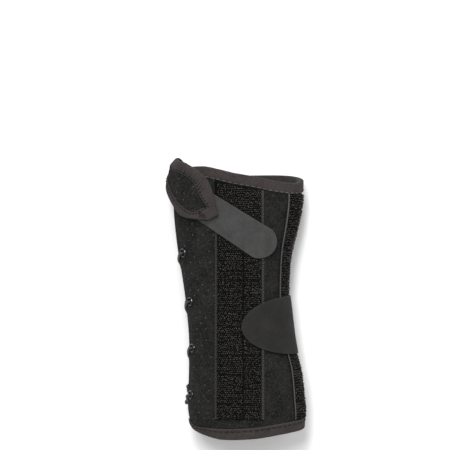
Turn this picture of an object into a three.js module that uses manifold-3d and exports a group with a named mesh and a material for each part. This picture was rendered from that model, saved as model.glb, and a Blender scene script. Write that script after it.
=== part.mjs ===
// Lace-up wrist brace, right-side model, lying on its palm side with its back side up.
//
// Frame, in millimetres: X runs across the arm, from the thumb side (-X) to the little-finger side (+X).
// Y runs along the arm, towards the fingers. Z is up. The origin is on the rest plane, under the
// middle of the forearm strap.
//
// The wrap is an open tube. A ring angle of 90 degrees is the back side, 0 the little-finger side,
// -90 the palm side and 180 the thumb side, where the tube is open and laced. Every cloth layer is
// a patch of that tube, at its own lift above the wrap's outer face.

import * as THREE from 'three';
import { mergeVertices } from 'three/addons/utils/BufferGeometryUtils.js';
import Module from 'manifold-3d';

const wasm = await Module();
wasm.setup();

// Cloth thicknesses and the clearance between layers
const WRAP_WALL = 2.6;
const GAP = 0.3;
const TAPE_GAP = 0.4;
const STRIP_GAP = 0.45;
const PANEL_THICK = 1.1;
const STRIP_THICK = 1.1;
const TAB_THICK = 1.3;
const FLAP_THICK = 1.7;
const STRAP_THICK = 2.0;
const TAPE_THICK = 0.7;
const TAPE_ROUND = 0.42;
const WIDE_TAPE = 7.0;

// Outer form of the tube, a row for each section along the arm: the thumb-side and
// little-finger-side limits, and the height of the back side
const SECTIONS = [
  { y: -88, thumbX: -30.6, littleX: 46.4, topZ: 63 },
  { y: -76, thumbX: -36.2, littleX: 47.0, topZ: 62.2 },
  { y: -62, thumbX: -39.1, littleX: 47.0, topZ: 61 },
  { y: -36, thumbX: -38.4, littleX: 44.2, topZ: 57.5 },
  { y: -10, thumbX: -38.4, littleX: 37.4, topZ: 54 },
  { y: 17, thumbX: -41.0, littleX: 34.9, topZ: 51 },
  { y: 35, thumbX: -43.6, littleX: 35.4, topZ: 49.5 },
  { y: 52, thumbX: -46.6, littleX: 37.4, topZ: 48.5 },
  { y: 70, thumbX: -49.2, littleX: 41.8, topZ: 47.5 },
  { y: 88, thumbX: -50.8, littleX: 45.4, topZ: 46.5 },
  { y: 105, thumbX: -51.0, littleX: 46.4, topZ: 45 },
  { y: 124, thumbX: -51.0, littleX: 46.6, topZ: 43 },
];
const BACK_POWER = 2.2;
const PALM_POWER = 2.8;
const PALM_SINK = 1.2;
const MIDDLE_SHARE = 0.5;

// How far the palm side of the wrap lies above the rest plane: on its edge tape at the elbow end,
// on the forearm strap in the middle and on the seam of the web flap at the finger end
const ELBOW_LIFT = TAPE_GAP + TAPE_THICK;
const STRAP_LIFT = GAP + STRAP_THICK;
const FINGER_LIFT = GAP + FLAP_THICK;
const STRAP_REACH = 26;
const LIFT_RAMP = 30;

// Edges of the laced opening, as ring angles: the thumb hole widens it towards the fingers
const OPENING = [
  { y: -95, backEdge: 170, palmEdge: -166 },
  { y: 40, backEdge: 170, palmEdge: -166 },
  { y: 58, backEdge: 169, palmEdge: -150 },
  { y: 74, backEdge: 167.5, palmEdge: -126 },
  { y: 96, backEdge: 166, palmEdge: -122 },
  { y: 124, backEdge: 165, palmEdge: -125 },
];

// End edges of the wrap round the ring
const FINGER_EDGE = [
  { angle: -126, y: 105.5 },
  { angle: -90, y: 108 },
  { angle: -45, y: 108 },
  { angle: 0, y: 105 },
  { angle: 20, y: 102.4 },
  { angle: 40, y: 102.1 },
  { angle: 60, y: 103.9 },
  { angle: 75, y: 106.4 },
  { angle: 90, y: 108.8 },
  { angle: 105, y: 112.1 },
  { angle: 120, y: 114.2 },
  { angle: 165, y: 112 },
];
const ELBOW_EDGE = [
  { angle: -166, y: -73.5 },
  { angle: -158, y: -77 },
  { angle: -142, y: -80 },
  { angle: -120, y: -81.5 },
  { angle: -60, y: -78 },
  { angle: 0, y: -76.5 },
  { angle: 20, y: -77.6 },
  { angle: 40, y: -78.4 },
  { angle: 60, y: -79.8 },
  { angle: 90, y: -82.5 },
  { angle: 120, y: -83 },
  { angle: 137, y: -81.2 },
  { angle: 152, y: -79.2 },
  { angle: 163, y: -77 },
  { angle: 170, y: -73.5 },
];

// Grid of the wrap. Its columns crowd towards both edges of the opening, where the corners are round.
const WRAP_COLUMNS = 36;
const WRAP_ROWS = 18;
const WRAP_CROWDING = 0.55;

// Loop panel on the back side, and loop strip along the little-finger side
const PANEL = { leftX: -17.6, rightX: 17.3, lowY: -70.4, topInset: 8 };
const PANEL_CELLS = { across: 6, length: 20 };
const STRIP = [
  { y: -69, inset: 5.6 },
  { y: -50, inset: 5.6 },
  { y: -24, inset: 4.4 },
  { y: 20, inset: 5.0 },
  { y: 43, inset: 5.6 },
  { y: 69, inset: 7.6 },
  { y: 94.3, inset: 9.4 },
];
const STRIP_PALM_ANGLE = -38;
const STRIP_CELLS = { across: 5, length: 20 };

// Tab that fastens the web flap, as a plan of its middle line on the back side. It climbs onto the
// loop panel over its ramp, which starts a lead before the panel's edge.
const TAB = {
  rootX: -27.4,
  rootY: 86.9,
  slope: -33.3,
  rootHalf: 11.0,
  endHalf: 12.6,
  length: 61.5,
  ramp: 7,
  rampLead: 9,
};
const TAB_CELLS = { length: 18, across: 6 };

// Web flap, a row for each station from its seam on the palm side, past the thumb hole to its tip.
// Its near edge borders the thumb hole, and its far edge faces the fingers.
const FLAP = [
  { farAngle: 250, farY: 97.5, nearAngle: 250, nearY: 76, farLift: 0.3, midLift: 0.3, nearLift: 0.3 },
  { farAngle: 238, farY: 98.5, nearAngle: 238, nearY: 79, farLift: 0.3, midLift: 0.3, nearLift: 0.3 },
  { farAngle: 212, farY: 110.5, nearAngle: 212, nearY: 98, farLift: 0, midLift: 0, nearLift: 0 },
  { farAngle: 182, farY: 120.2, nearAngle: 177, nearY: 114, farLift: -7, midLift: -6, nearLift: -4.8 },
  { farAngle: 166, farY: 120.2, nearAngle: 172, nearY: 108, farLift: -4.2, midLift: -0.8, nearLift: -0.7 },
  { farAngle: 152, farY: 119.8, nearAngle: 167, nearY: 99.5, farLift: -0.4, midLift: 3.4, nearLift: 2.7 },
  { farAngle: 134, farY: 115.8, nearAngle: 154.5, nearY: 88, farLift: 3.4, midLift: 3.6, nearLift: 2.3 },
  { farAngle: 114, farY: 104.5, nearAngle: 140, nearY: 79.2, farLift: 3.9, midLift: 3.7, nearLift: 2.8 },
  { farAngle: 104, farY: 79.8, nearAngle: 112, nearY: 76.2, farLift: 4.6, midLift: 4.6, nearLift: 4.4 },
];
const FLAP_CELLS = { length: 20, across: 6 };
const FLAP_TAPE = { start: 0.2, spineEnd: 0.86, fill: 0.6, sideSteps: 16, tipSteps: 5 };

// Forearm strap, from its tip on the back side, round the little-finger side and under the palm side.
// Its rounded tip opens over the taper, and it climbs over the loop strip between two ring angles.
const STRAP = {
  tipX: 0.9,
  tipY: -3.4,
  midY: -1.2,
  half: 21.6,
  taper: 40,
  tipPower: 0.5,
  tipShare: 0.004,
  rootAngle: -128,
  climbAngle: -75,
  climbSpan: 45,
  backLift: 1.9,
};
const STRAP_CELLS = { length: 28, across: 5 };
const STRAP_CROWDING = 0.7;

// Eyelets of the two lace rows and the lace through them
const EYELETS = [
  { y: 51.5, angle: 151 },
  { y: 15.8, angle: 151.5 },
  { y: -18.4, angle: 155 },
  { y: -52.5, angle: 157 },
];
const PALM_ROW_ANGLE = 151;
const EYELET = { flange: 3.4, bore: 1.9, barrel: 2.3, hole: 2.6, proud: 0.7, bevel: 0.4, flare: 0.2 };
const EYELET_SIDES = 12;
const LACE_RADIUS = 1.05;
const LACE_CLEAR = 0.8;
const LACE_SIDES = 8;
const LACE_STEPS = 106;
const KNOT_RADIUS = 2.4;

// Turns of the lace about an eyelet: how far each point slides round the ring, in degrees,
// and along the arm, in millimetres
const ENTRY = { slide: 2.5, run: 1.5 };
const BARREL_END = { slide: 0, run: 0.1 };
const EXIT = { slide: 0.6, run: -0.5 };

// Crossing of the lace between two pairs of eyelets: shares of the way where it passes over the near
// edge of the opening and under the far one, and the lifts of the two halves where they cross
const CROSSING = { nearShare: 0.16, farShare: 0.8, angle: 181, overLift: -0.5, underLift: -3.4, edgeTurn: 1 };
const EDGE_DIVE = { slide: 6.5, run: -3, lift: -1.3 };
const EDGE_LIFT = LACE_RADIUS + 0.35;

// Ends of the lace: where each passes over its edge, and where it stops in the opening
const LACE_ENDS = {
  back: { edgeRun: -3.6, angle: 175.5, run: -5, lift: -0.4 },
  palm: { edgeRun: 1.6, angle: 188.5, run: 3, lift: -0.4 },
};

// Bar of lace behind the first pair of eyelets
const BAR = { angles: [168, 192], ahead: 4, dip: 0.4 };

const radians = (degrees) => THREE.MathUtils.degToRad(degrees);
const lerp = THREE.MathUtils.lerp;
const signedPower = (value, power) => Math.sign(value) * Math.abs(value) ** power;
const clamp01 = (value) => THREE.MathUtils.clamp(value, 0, 1);
const ease = (value) => clamp01(value) ** 2 * (3 - 2 * clamp01(value));

// Smooth curve through a table: a cubic between rows, with each slope taken from the row's neighbours
function along(table, key, column, at) {
  const last = table.length - 1;
  let row = 0;
  while (row < last - 1 && at > table[row + 1][key]) row += 1;
  const slope = (index) => {
    const before = table[Math.max(index - 1, 0)];
    const after = table[Math.min(index + 1, last)];
    return (after[column] - before[column]) / (after[key] - before[key]);
  };
  const [start, end] = [table[row], table[row + 1]];
  const span = end[key] - start[key];
  const t = clamp01((at - start[key]) / span);
  const [t2, t3] = [t * t, t * t * t];
  return (2 * t3 - 3 * t2 + 1) * start[column] + (t3 - 2 * t2 + t) * span * slope(row)
    + (3 * t2 - 2 * t3) * end[column] + (t3 - t2) * span * slope(row + 1);
}

// Height of the wrap's palm face above the rest plane
function palmLift(y) {
  const endLift = y < 0 ? ELBOW_LIFT : FINGER_LIFT;
  return lerp(STRAP_LIFT, endLift, ease((Math.abs(y) - STRAP_REACH) / LIFT_RAMP));
}

// Point of the wrap's outer section at a ring angle in degrees
function sectionPoint(angle, y) {
  const thumbX = along(SECTIONS, 'y', 'thumbX', y);
  const littleX = along(SECTIONS, 'y', 'littleX', y);
  const topZ = along(SECTIONS, 'y', 'topZ', y);
  const lowZ = palmLift(y) - PALM_SINK;
  const middleZ = lerp(lowZ, topZ, MIDDLE_SHARE);
  const [cosine, sine] = [Math.cos(radians(angle)), Math.sin(radians(angle))];
  const power = 2 / (sine >= 0 ? BACK_POWER : PALM_POWER);
  const height = sine >= 0 ? topZ - middleZ : middleZ - lowZ;
  const x = (thumbX + littleX) / 2 + (littleX - thumbX) / 2 * signedPower(cosine, power);
  const z = middleZ + height * signedPower(sine, power);
  return new THREE.Vector3(x, y, Math.max(z, palmLift(y)));
}

// Outward direction of the section, in its own plane
function sectionNormal(angle, y) {
  const step = 0.5;
  const tangent = sectionPoint(angle + step, y).sub(sectionPoint(angle - step, y));
  return new THREE.Vector3(tangent.z, 0, -tangent.x).normalize();
}

// Outward direction of the wrap's face, square to it along the arm as well
function faceNormal(angle, y) {
  const step = 1;
  const around = sectionPoint(angle + step, y).sub(sectionPoint(angle - step, y));
  const lengthwise = sectionPoint(angle, y + step).sub(sectionPoint(angle, y - step));
  return lengthwise.cross(around).normalize();
}

function lifted(angle, y, lift) {
  return sectionPoint(angle, y).addScaledVector(sectionNormal(angle, y), lift);
}

// Ring angle of a point on the back side, from its place across the arm
function backAngle(x, y) {
  const thumbX = along(SECTIONS, 'y', 'thumbX', y);
  const littleX = along(SECTIONS, 'y', 'littleX', y);
  const share = THREE.MathUtils.clamp((2 * x - thumbX - littleX) / (littleX - thumbX), -1, 1);
  return THREE.MathUtils.radToDeg(Math.acos(signedPower(share, BACK_POWER / 2)));
}

// Closed mesh from vertices and triangles, turned so that its faces point outwards
function closedMesh(points, triangles) {
  let volume = 0;
  for (const [a, b, c] of triangles) {
    volume += points[a].dot(new THREE.Vector3().crossVectors(points[b], points[c]));
  }
  const faces = volume < 0 ? triangles.map(([a, b, c]) => [a, c, b]) : triangles;
  const geometry = new THREE.BufferGeometry().setFromPoints(points);
  geometry.setIndex(faces.flat());
  geometry.computeVertexNormals();
  return geometry;
}

// Cloth patch: a grid of outer points and one of inner points, joined round the rim
function slab(columns, rows, outer, inner) {
  const points = [];
  for (const face of [outer, inner]) {
    for (let i = 0; i <= columns; i += 1) {
      for (let j = 0; j <= rows; j += 1) points.push(face(i / columns, j / rows));
    }
  }
  const stride = rows + 1;
  const innerStart = (columns + 1) * stride;
  const triangles = [];
  const quad = (a, b, c, d) => triangles.push([a, b, c], [a, c, d]);
  for (let i = 0; i < columns; i += 1) {
    for (let j = 0; j < rows; j += 1) {
      const a = i * stride + j;
      const b = a + stride;
      quad(a, b, b + 1, a + 1);
      quad(innerStart + a, innerStart + a + 1, innerStart + b + 1, innerStart + b);
    }
  }
  const rim = (a, b) => quad(b, a, a + innerStart, b + innerStart);
  for (let i = 0; i < columns; i += 1) {
    rim(i * stride, (i + 1) * stride);
    rim((i + 1) * stride + rows, i * stride + rows);
  }
  for (let j = 0; j < rows; j += 1) {
    rim(j + 1, j);
    rim(columns * stride + j, columns * stride + j + 1);
  }
  return closedMesh(points, triangles);
}

// Closed sweep: the same outline at each station, with both ends capped
function sweep(outline, stations) {
  const points = stations.flatMap((place) => outline.map(place));
  const count = outline.length;
  const triangles = [];
  for (let i = 0; i + 1 < stations.length; i += 1) {
    for (let j = 0; j < count; j += 1) {
      const a = i * count + j;
      const b = i * count + (j + 1) % count;
      triangles.push([a, b, b + count], [a, b + count, a + count]);
    }
  }
  const lastRing = (stations.length - 1) * count;
  for (const [a, b, c] of THREE.ShapeUtils.triangulateShape(outline, [])) {
    triangles.push([a, c, b], [lastRing + a, lastRing + b, lastRing + c]);
  }
  return closedMesh(points, triangles);
}

// Folded tape round a cloth edge: x is the inset from the edge and y the lift above the cloth's outer face
function tapeOutline(width, wall) {
  const out = TAPE_GAP + TAPE_THICK;
  const round = TAPE_ROUND;
  return [
    new THREE.Vector2(width, TAPE_GAP),
    new THREE.Vector2(width, out),
    new THREE.Vector2(round - out, out),
    new THREE.Vector2(-out, out - round),
    new THREE.Vector2(-out, round - out - wall),
    new THREE.Vector2(round - out, -out - wall),
    new THREE.Vector2(width, -out - wall),
    new THREE.Vector2(width, -TAPE_GAP - wall),
    new THREE.Vector2(-TAPE_GAP, -TAPE_GAP - wall),
    new THREE.Vector2(-TAPE_GAP, TAPE_GAP),
  ];
}

function solidOf(geometry) {
  const bare = geometry.clone();
  bare.deleteAttribute('normal');
  bare.deleteAttribute('uv');
  const merged = mergeVertices(bare);
  return new wasm.Manifold(new wasm.Mesh({
    numProp: 3,
    vertProperties: new Float32Array(merged.attributes.position.array),
    triVerts: new Uint32Array(merged.index.array),
  }));
}

function geometryOf(solid) {
  const { vertProperties, triVerts } = solid.getMesh();
  const geometry = new THREE.BufferGeometry();
  geometry.setAttribute('position', new THREE.BufferAttribute(new Float32Array(vertProperties), 3));
  geometry.setIndex(new THREE.BufferAttribute(new Uint32Array(triVerts), 1));
  geometry.computeVertexNormals();
  return geometry;
}

// Place on the wrap: around is 0 at the back edge of the opening and 1 at its palm edge,
// length is 0 at the elbow edge and 1 at the finger edge
function wrapPlace(around, length) {
  const edges = (y) => [along(OPENING, 'y', 'backEdge', y), along(OPENING, 'y', 'palmEdge', y)];
  const fingerLimits = edges(FINGER_EDGE[0].y);
  const elbowLimits = edges(ELBOW_EDGE[0].y);
  const y = lerp(
    along(ELBOW_EDGE, 'angle', 'y', lerp(...elbowLimits, around)),
    along(FINGER_EDGE, 'angle', 'y', lerp(...fingerLimits, around)),
    length,
  );
  return { angle: lerp(...edges(y), around), y };
}

const crowded = (share) => lerp(share, (1 - Math.cos(Math.PI * share)) / 2, WRAP_CROWDING);

function wrapFace(lift) {
  return (around, length) => {
    const { angle, y } = wrapPlace(crowded(around), length);
    return lifted(angle, y, lift);
  };
}

// Place of an eyelet, as an axis with its outer end on the wrap's outer face
function eyeletFrame({ y, angle }) {
  const frame = new THREE.Object3D();
  frame.position.copy(sectionPoint(angle, y));
  frame.quaternion.setFromUnitVectors(new THREE.Vector3(0, 1, 0), faceNormal(angle, y));
  frame.updateMatrix();
  return frame;
}

const backRow = EYELETS;
const palmRow = EYELETS.map(({ y }) => ({ y, angle: -PALM_ROW_ANGLE }));

function wrapGeometry() {
  const drillLength = 4 * WRAP_WALL;
  let solid = solidOf(slab(WRAP_COLUMNS, WRAP_ROWS, wrapFace(0), wrapFace(-WRAP_WALL)));
  for (const eyelet of [...backRow, ...palmRow]) {
    const drill = new THREE.CylinderGeometry(EYELET.hole, EYELET.hole, drillLength, EYELET_SIDES);
    drill.applyMatrix4(eyeletFrame(eyelet).matrix);
    solid = solid.subtract(solidOf(drill));
  }
  return geometryOf(solid);
}

// Tape along one end edge of the wrap, its legs square to the edge
function endTape(length, width) {
  const inward = length === 0 ? 1 : -1;
  const nearby = 0.004;
  const stations = [];
  for (let i = 0; i <= WRAP_COLUMNS; i += 1) {
    const around = crowded(i / WRAP_COLUMNS);
    const { angle, y } = wrapPlace(around, length);
    const before = wrapPlace(around - nearby, length);
    const after = wrapPlace(around + nearby, length);
    const millimetresPerDegree = sectionPoint(angle + 1, y).distanceTo(sectionPoint(angle, y));
    const run = (before.angle - after.angle) * millimetresPerDegree;
    const rise = after.y - before.y;
    const size = Math.hypot(run, rise);
    stations.push(({ x: inset, y: lift }) => lifted(
      angle + inward * inset * rise / size / millimetresPerDegree,
      y + inward * inset * run / size,
      lift,
    ));
  }
  return sweep(tapeOutline(width, WRAP_WALL), stations);
}

// Patch on the back side between two sides that are given by their place across the arm
function panelGeometry() {
  const shortestY = Math.min(...FINGER_EDGE.map(({ y }) => y));
  const face = (lift) => (across, length) => {
    const x = lerp(PANEL.leftX, PANEL.rightX, across);
    const topY = along(FINGER_EDGE, 'angle', 'y', backAngle(x, shortestY)) - PANEL.topInset;
    const y = lerp(PANEL.lowY, topY, length);
    return lifted(backAngle(x, y), y, lift);
  };
  return slab(PANEL_CELLS.across, PANEL_CELLS.length, face(GAP + PANEL_THICK), face(GAP));
}

function stripGeometry() {
  const face = (lift) => (across, length) => {
    const y = lerp(STRIP[0].y, STRIP[STRIP.length - 1].y, length);
    const backLimit = backAngle(along(SECTIONS, 'y', 'littleX', y) - along(STRIP, 'y', 'inset', y), y);
    return lifted(lerp(backLimit, STRIP_PALM_ANGLE, across), y, lift);
  };
  return slab(STRIP_CELLS.across, STRIP_CELLS.length, face(STRIP_GAP + STRIP_THICK), face(STRIP_GAP));
}

// Half width of a strip that ends in a half circle, with a blunt last millimetre or two
function roundEnd(run, length, half) {
  const bluntHalf = 0.78;
  const past = Math.max(run - (length - half), 0);
  return Math.max(Math.sqrt(Math.max(half * half - past * past, 0)), bluntHalf);
}

function tabGeometry() {
  const slope = radians(TAB.slope);
  const ramp = (x) => ease((x - PANEL.leftX + TAB.rampLead) / TAB.ramp) * (PANEL_THICK + GAP);
  const face = (rise) => (length, across) => {
    const run = TAB.length * Math.sin(length * Math.PI / 2);
    const sideHalf = lerp(TAB.rootHalf, TAB.endHalf, run / TAB.length);
    const half = Math.min(sideHalf, roundEnd(run, TAB.length, TAB.endHalf));
    const side = half * (2 * across - 1);
    const x = TAB.rootX + run * Math.cos(slope) - side * Math.sin(slope);
    const y = TAB.rootY + run * Math.sin(slope) + side * Math.cos(slope);
    return lifted(backAngle(x, y), y, GAP + ramp(x) + rise);
  };
  return slab(TAB_CELLS.length, TAB_CELLS.across, face(TAB_THICK), face(0));
}

// Place on the web flap: length is 0 at its seam and 1 at the tip, across is 0 at its near edge
// and 1 at its far edge
function flapPlace(length, across, rise) {
  const rows = FLAP.map((row, index) => ({ ...row, station: index / (FLAP.length - 1) }));
  const at = (column) => along(rows, 'station', column, length);
  const side = 2 * across - 1;
  const lift = at('midLift') * (1 - side * side)
    + (side > 0 ? at('farLift') : at('nearLift')) * side * side;
  return lifted(
    lerp(at('nearAngle'), at('farAngle'), across),
    lerp(at('nearY'), at('farY'), across),
    lift + rise,
  );
}

function flapGeometry() {
  const face = (rise) => (length, across) => flapPlace(length, across, rise);
  return slab(FLAP_CELLS.length, FLAP_CELLS.across, face(FLAP_THICK), face(0));
}

// Tape round the flap: along its thumb-hole edge, across the tip and back along its finger edge. Where the
// flap is narrow, each leg fills a share of the way to its spine.
function flapTapeGeometry() {
  const { start, spineEnd, fill, sideSteps, tipSteps } = FLAP_TAPE;
  const outline = tapeOutline(WIDE_TAPE, FLAP_THICK);
  const border = [];
  for (let i = 0; i <= sideSteps; i += 1) border.push([lerp(start, 1, i / sideSteps), 0]);
  for (let i = 1; i < tipSteps; i += 1) border.push([1, i / tipSteps]);
  for (let i = 0; i <= sideSteps; i += 1) border.push([lerp(1, start, i / sideSteps), 1]);
  const stations = border.map(([length, across]) => {
    const spine = [Math.min(length, spineEnd), 0.5];
    const reach = flapPlace(length, across, 0).distanceTo(flapPlace(...spine, 0));
    const squeeze = Math.min(1, fill * reach / WIDE_TAPE);
    return ({ x: inset, y: lift }) => {
      const share = (inset > 0 ? inset * squeeze : inset) / reach;
      return flapPlace(lerp(length, spine[0], share), lerp(across, spine[1], share), lift + FLAP_THICK);
    };
  });
  return sweep(outline, stations);
}

function strapGeometry() {
  const tipAngle = backAngle(STRAP.tipX, STRAP.tipY);
  const face = (rise) => (length, across) => {
    const angle = lerp(tipAngle, STRAP.rootAngle, lerp(length, length * length, STRAP_CROWDING));
    const reach = angle > 0 ? sectionPoint(angle, STRAP.midY).x - STRAP.tipX : STRAP.taper;
    const share = clamp01(reach / STRAP.taper);
    const half = STRAP.half * Math.max(1 - (1 - share) ** 2, STRAP.tipShare) ** STRAP.tipPower;
    const y = lerp(STRAP.tipY, STRAP.midY, share) + half * (2 * across - 1);
    const lift = lerp(GAP, STRAP.backLift, ease((angle - STRAP.climbAngle) / STRAP.climbSpan));
    return lifted(angle, y, lift + rise);
  };
  return slab(STRAP_CELLS.length, STRAP_CELLS.across, face(STRAP_THICK), face(0));
}

function eyeletGeometry() {
  const lift = GAP + EYELET.proud;
  const profile = [
    [EYELET.bore, -WRAP_WALL - GAP],
    [EYELET.barrel, -WRAP_WALL - GAP],
    [EYELET.barrel, GAP],
    [EYELET.flange, GAP],
    [EYELET.flange - EYELET.bevel, lift],
    [EYELET.bore + EYELET.flare, lift],
    [EYELET.bore, -WRAP_WALL - GAP],
  ].map(([radius, height]) => new THREE.Vector2(radius, height));
  return new THREE.LatheGeometry(profile, EYELET_SIDES);
}

// Route of the lace: it crosses outside from each eyelet, dives under the far edge of the opening
// and comes out of the next eyelet there. Both halves start at the bar behind the first pair, and
// the half that starts on the back row passes over the other one. Past its last eyelet, each turns over its
// edge and stops in the opening.
function lacePath() {
  const points = [];
  const over = LACE_RADIUS + LACE_CLEAR;
  const under = -WRAP_WALL - over;
  const aboveEyelet = EYELET.proud + GAP + over;
  const edge = (row, y) => along(OPENING, 'y', row, y);
  for (const startsAtBack of [true, false]) {
    for (let i = 0; i < EYELETS.length; i += 1) {
      const onBack = (i % 2 === 0) === startsAtBack;
      const here = (onBack ? backRow : palmRow)[i];
      const next = (onBack ? palmRow : backRow)[i + 1];
      const turn = onBack ? 1 : -1;
      const pass = (lift, { slide, run }) => {
        points.push(lifted(here.angle + turn * slide, here.y + run, lift));
      };
      pass(under, ENTRY);
      pass(-WRAP_WALL - GAP, BARREL_END);
      pass(-GAP, { slide: 0, run: 0 });
      pass(aboveEyelet, EXIT);
      const overEdge = (y) => {
        const nearEdge = edge(onBack ? 'backEdge' : 'palmEdge', y);
        points.push(lifted(nearEdge + turn * CROSSING.edgeTurn, y, EDGE_LIFT));
        if (next) points.push(lifted(nearEdge + turn * EDGE_DIVE.slide, y + EDGE_DIVE.run, EDGE_DIVE.lift));
      };
      if (!next) {
        const end = onBack ? LACE_ENDS.back : LACE_ENDS.palm;
        overEdge(here.y + end.edgeRun);
        points.push(lifted(end.angle, here.y + end.run, end.lift));
        break;
      }
      const nearY = lerp(here.y, next.y, CROSSING.nearShare);
      const farY = lerp(here.y, next.y, CROSSING.farShare);
      const farEdge = edge(onBack ? 'palmEdge' : 'backEdge', farY) - turn * CROSSING.edgeTurn;
      const crossLift = startsAtBack ? CROSSING.overLift : CROSSING.underLift;
      overEdge(nearY);
      points.push(lifted(CROSSING.angle, (here.y + next.y) / 2, crossLift));
      points.push(lifted(farEdge, farY, under));
    }
    if (startsAtBack) {
      points.reverse();
      for (const angle of BAR.angles) points.push(lifted(angle, EYELETS[0].y + BAR.ahead, under - BAR.dip));
    }
  }
  return points;
}

function laceGeometry() {
  const ring = Array.from({ length: LACE_SIDES }, (_, i) => {
    const turn = 2 * Math.PI * i / LACE_SIDES;
    return new THREE.Vector2(LACE_RADIUS * Math.cos(turn), LACE_RADIUS * Math.sin(turn));
  });
  const extrudePath = new THREE.CatmullRomCurve3(lacePath(), false, 'centripetal');
  const options = { steps: LACE_STEPS, bevelEnabled: false, extrudePath };
  return new THREE.ExtrudeGeometry(new THREE.Shape(ring), options);
}

// Name, end point and the point before it for each stopper knot
function laceEnds() {
  const path = lacePath();
  return [
    ['back_lace_knot', path[path.length - 1], path[path.length - 2]],
    ['palm_lace_knot', path[0], path[1]],
  ];
}

const cloth = (color, roughness) => new THREE.MeshStandardMaterial({ color, roughness, metalness: 0 });
const wrapCloth = cloth(0x2b2a29, 0.95);
const loopPile = cloth(0x1c1b1a, 1.0);
const edgeTape = cloth(0x3f3c3c, 0.9);
const tabCloth = cloth(0x4e4c4c, 0.9);
const strapCloth = cloth(0x343230, 0.9);
const laceCord = cloth(0x161616, 0.7);
const blackMetal = new THREE.MeshStandardMaterial({ color: 0x202022, roughness: 0.3, metalness: 0.9 });

const brace = new THREE.Group();

function add(name, geometry, material) {
  const mesh = new THREE.Mesh(geometry, material);
  mesh.name = name;
  brace.add(mesh);
  return mesh;
}

add('wrap', wrapGeometry(), wrapCloth);
add('finger_edge_tape', endTape(1, WIDE_TAPE), edgeTape);
add('elbow_edge_tape', endTape(0, WIDE_TAPE), edgeTape);
add('loop_panel', panelGeometry(), loopPile);
add('loop_strip', stripGeometry(), loopPile);
add('web_flap', flapGeometry(), wrapCloth);
add('flap_tape', flapTapeGeometry(), edgeTape);
add('thumb_tab', tabGeometry(), tabCloth);
add('forearm_strap', strapGeometry(), strapCloth);
for (const [row, eyelets] of [['back', backRow], ['palm', palmRow]]) {
  eyelets.forEach((eyelet, index) => {
    const mesh = add(`${row}_eyelet_${index + 1}`, eyeletGeometry(), blackMetal);
    const frame = eyeletFrame(eyelet);
    mesh.position.copy(frame.position);
    mesh.quaternion.copy(frame.quaternion);
  });
}
add('lace', laceGeometry(), laceCord);
for (const [name, end, before] of laceEnds()) {
  const knot = add(name, new THREE.IcosahedronGeometry(KNOT_RADIUS, 1), laceCord);
  knot.position.copy(end).addScaledVector(end.clone().sub(before).normalize(), KNOT_RADIUS + GAP);
}

export default brace;
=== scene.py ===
"""Lace-up wrist brace: cloth, pile, tapes, stitches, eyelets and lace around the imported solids.

Sizes are millimetres in the formulas, and metres from place_piece() on. X runs across the brace, from the
thumb side to the little-finger side, Y along it towards the finger end, and Z up. A ring angle of 90
degrees is the back side of the brace, 0 the little-finger side, -90 the palm side and 180 the laced side.
"""

import bpy
import numpy as np
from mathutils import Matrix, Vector


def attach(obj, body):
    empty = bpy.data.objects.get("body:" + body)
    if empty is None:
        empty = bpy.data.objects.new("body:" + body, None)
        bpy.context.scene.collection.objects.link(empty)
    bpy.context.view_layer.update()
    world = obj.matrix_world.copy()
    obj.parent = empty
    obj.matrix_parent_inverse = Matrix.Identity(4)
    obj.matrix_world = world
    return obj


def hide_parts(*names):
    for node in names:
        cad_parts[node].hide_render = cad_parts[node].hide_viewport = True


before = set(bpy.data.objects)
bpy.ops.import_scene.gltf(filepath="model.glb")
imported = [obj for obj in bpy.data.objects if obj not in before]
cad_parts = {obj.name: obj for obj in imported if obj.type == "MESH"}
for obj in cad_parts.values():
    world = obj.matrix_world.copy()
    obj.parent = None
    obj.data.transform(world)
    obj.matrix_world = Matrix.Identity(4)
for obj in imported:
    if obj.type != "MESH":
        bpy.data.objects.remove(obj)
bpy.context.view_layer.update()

MM = 0.001
TURN = 2 * np.pi
CLOTH_MAP = "cloth"
TINT = "tint"


def table(names, *rows):
    """Rows of numbers as one array for each named column."""
    return dict(zip(names.split(), np.array(rows, float).T))


# Cloth thicknesses and clearances
WRAP_WALL = 2.6
GAP = 0.3
TAPE_GAP = 0.4
STRIP_GAP = 0.45
PANEL_THICK = 1.1
TAB_THICK = 1.3
FLAP_THICK = 1.7
STRAP_THICK = 2.0
TAPE_THICK = 0.7
WIDE_TAPE = 7.0
BACKING = 0.55

# Outer form of the tube
SECTIONS = table(
    "y thumb_x little_x top_z",
    (-88, -30.6, 46.4, 63), (-76, -36.2, 47.0, 62.2), (-62, -39.1, 47.0, 61), (-36, -38.4, 44.2, 57.5),
    (-10, -38.4, 37.4, 54), (17, -41.0, 34.9, 51), (35, -43.6, 35.4, 49.5), (52, -46.6, 37.4, 48.5),
    (70, -49.2, 41.8, 47.5), (88, -50.8, 45.4, 46.5), (105, -51.0, 46.4, 45), (124, -51.0, 46.6, 43),
)
BACK_POWER = 2.2
PALM_POWER = 2.8
PALM_SINK = 1.2
ELBOW_LIFT = TAPE_GAP + TAPE_THICK
STRAP_LIFT = GAP + STRAP_THICK
FINGER_LIFT = GAP + FLAP_THICK
STRAP_REACH = 26
LIFT_RAMP = 30

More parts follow.
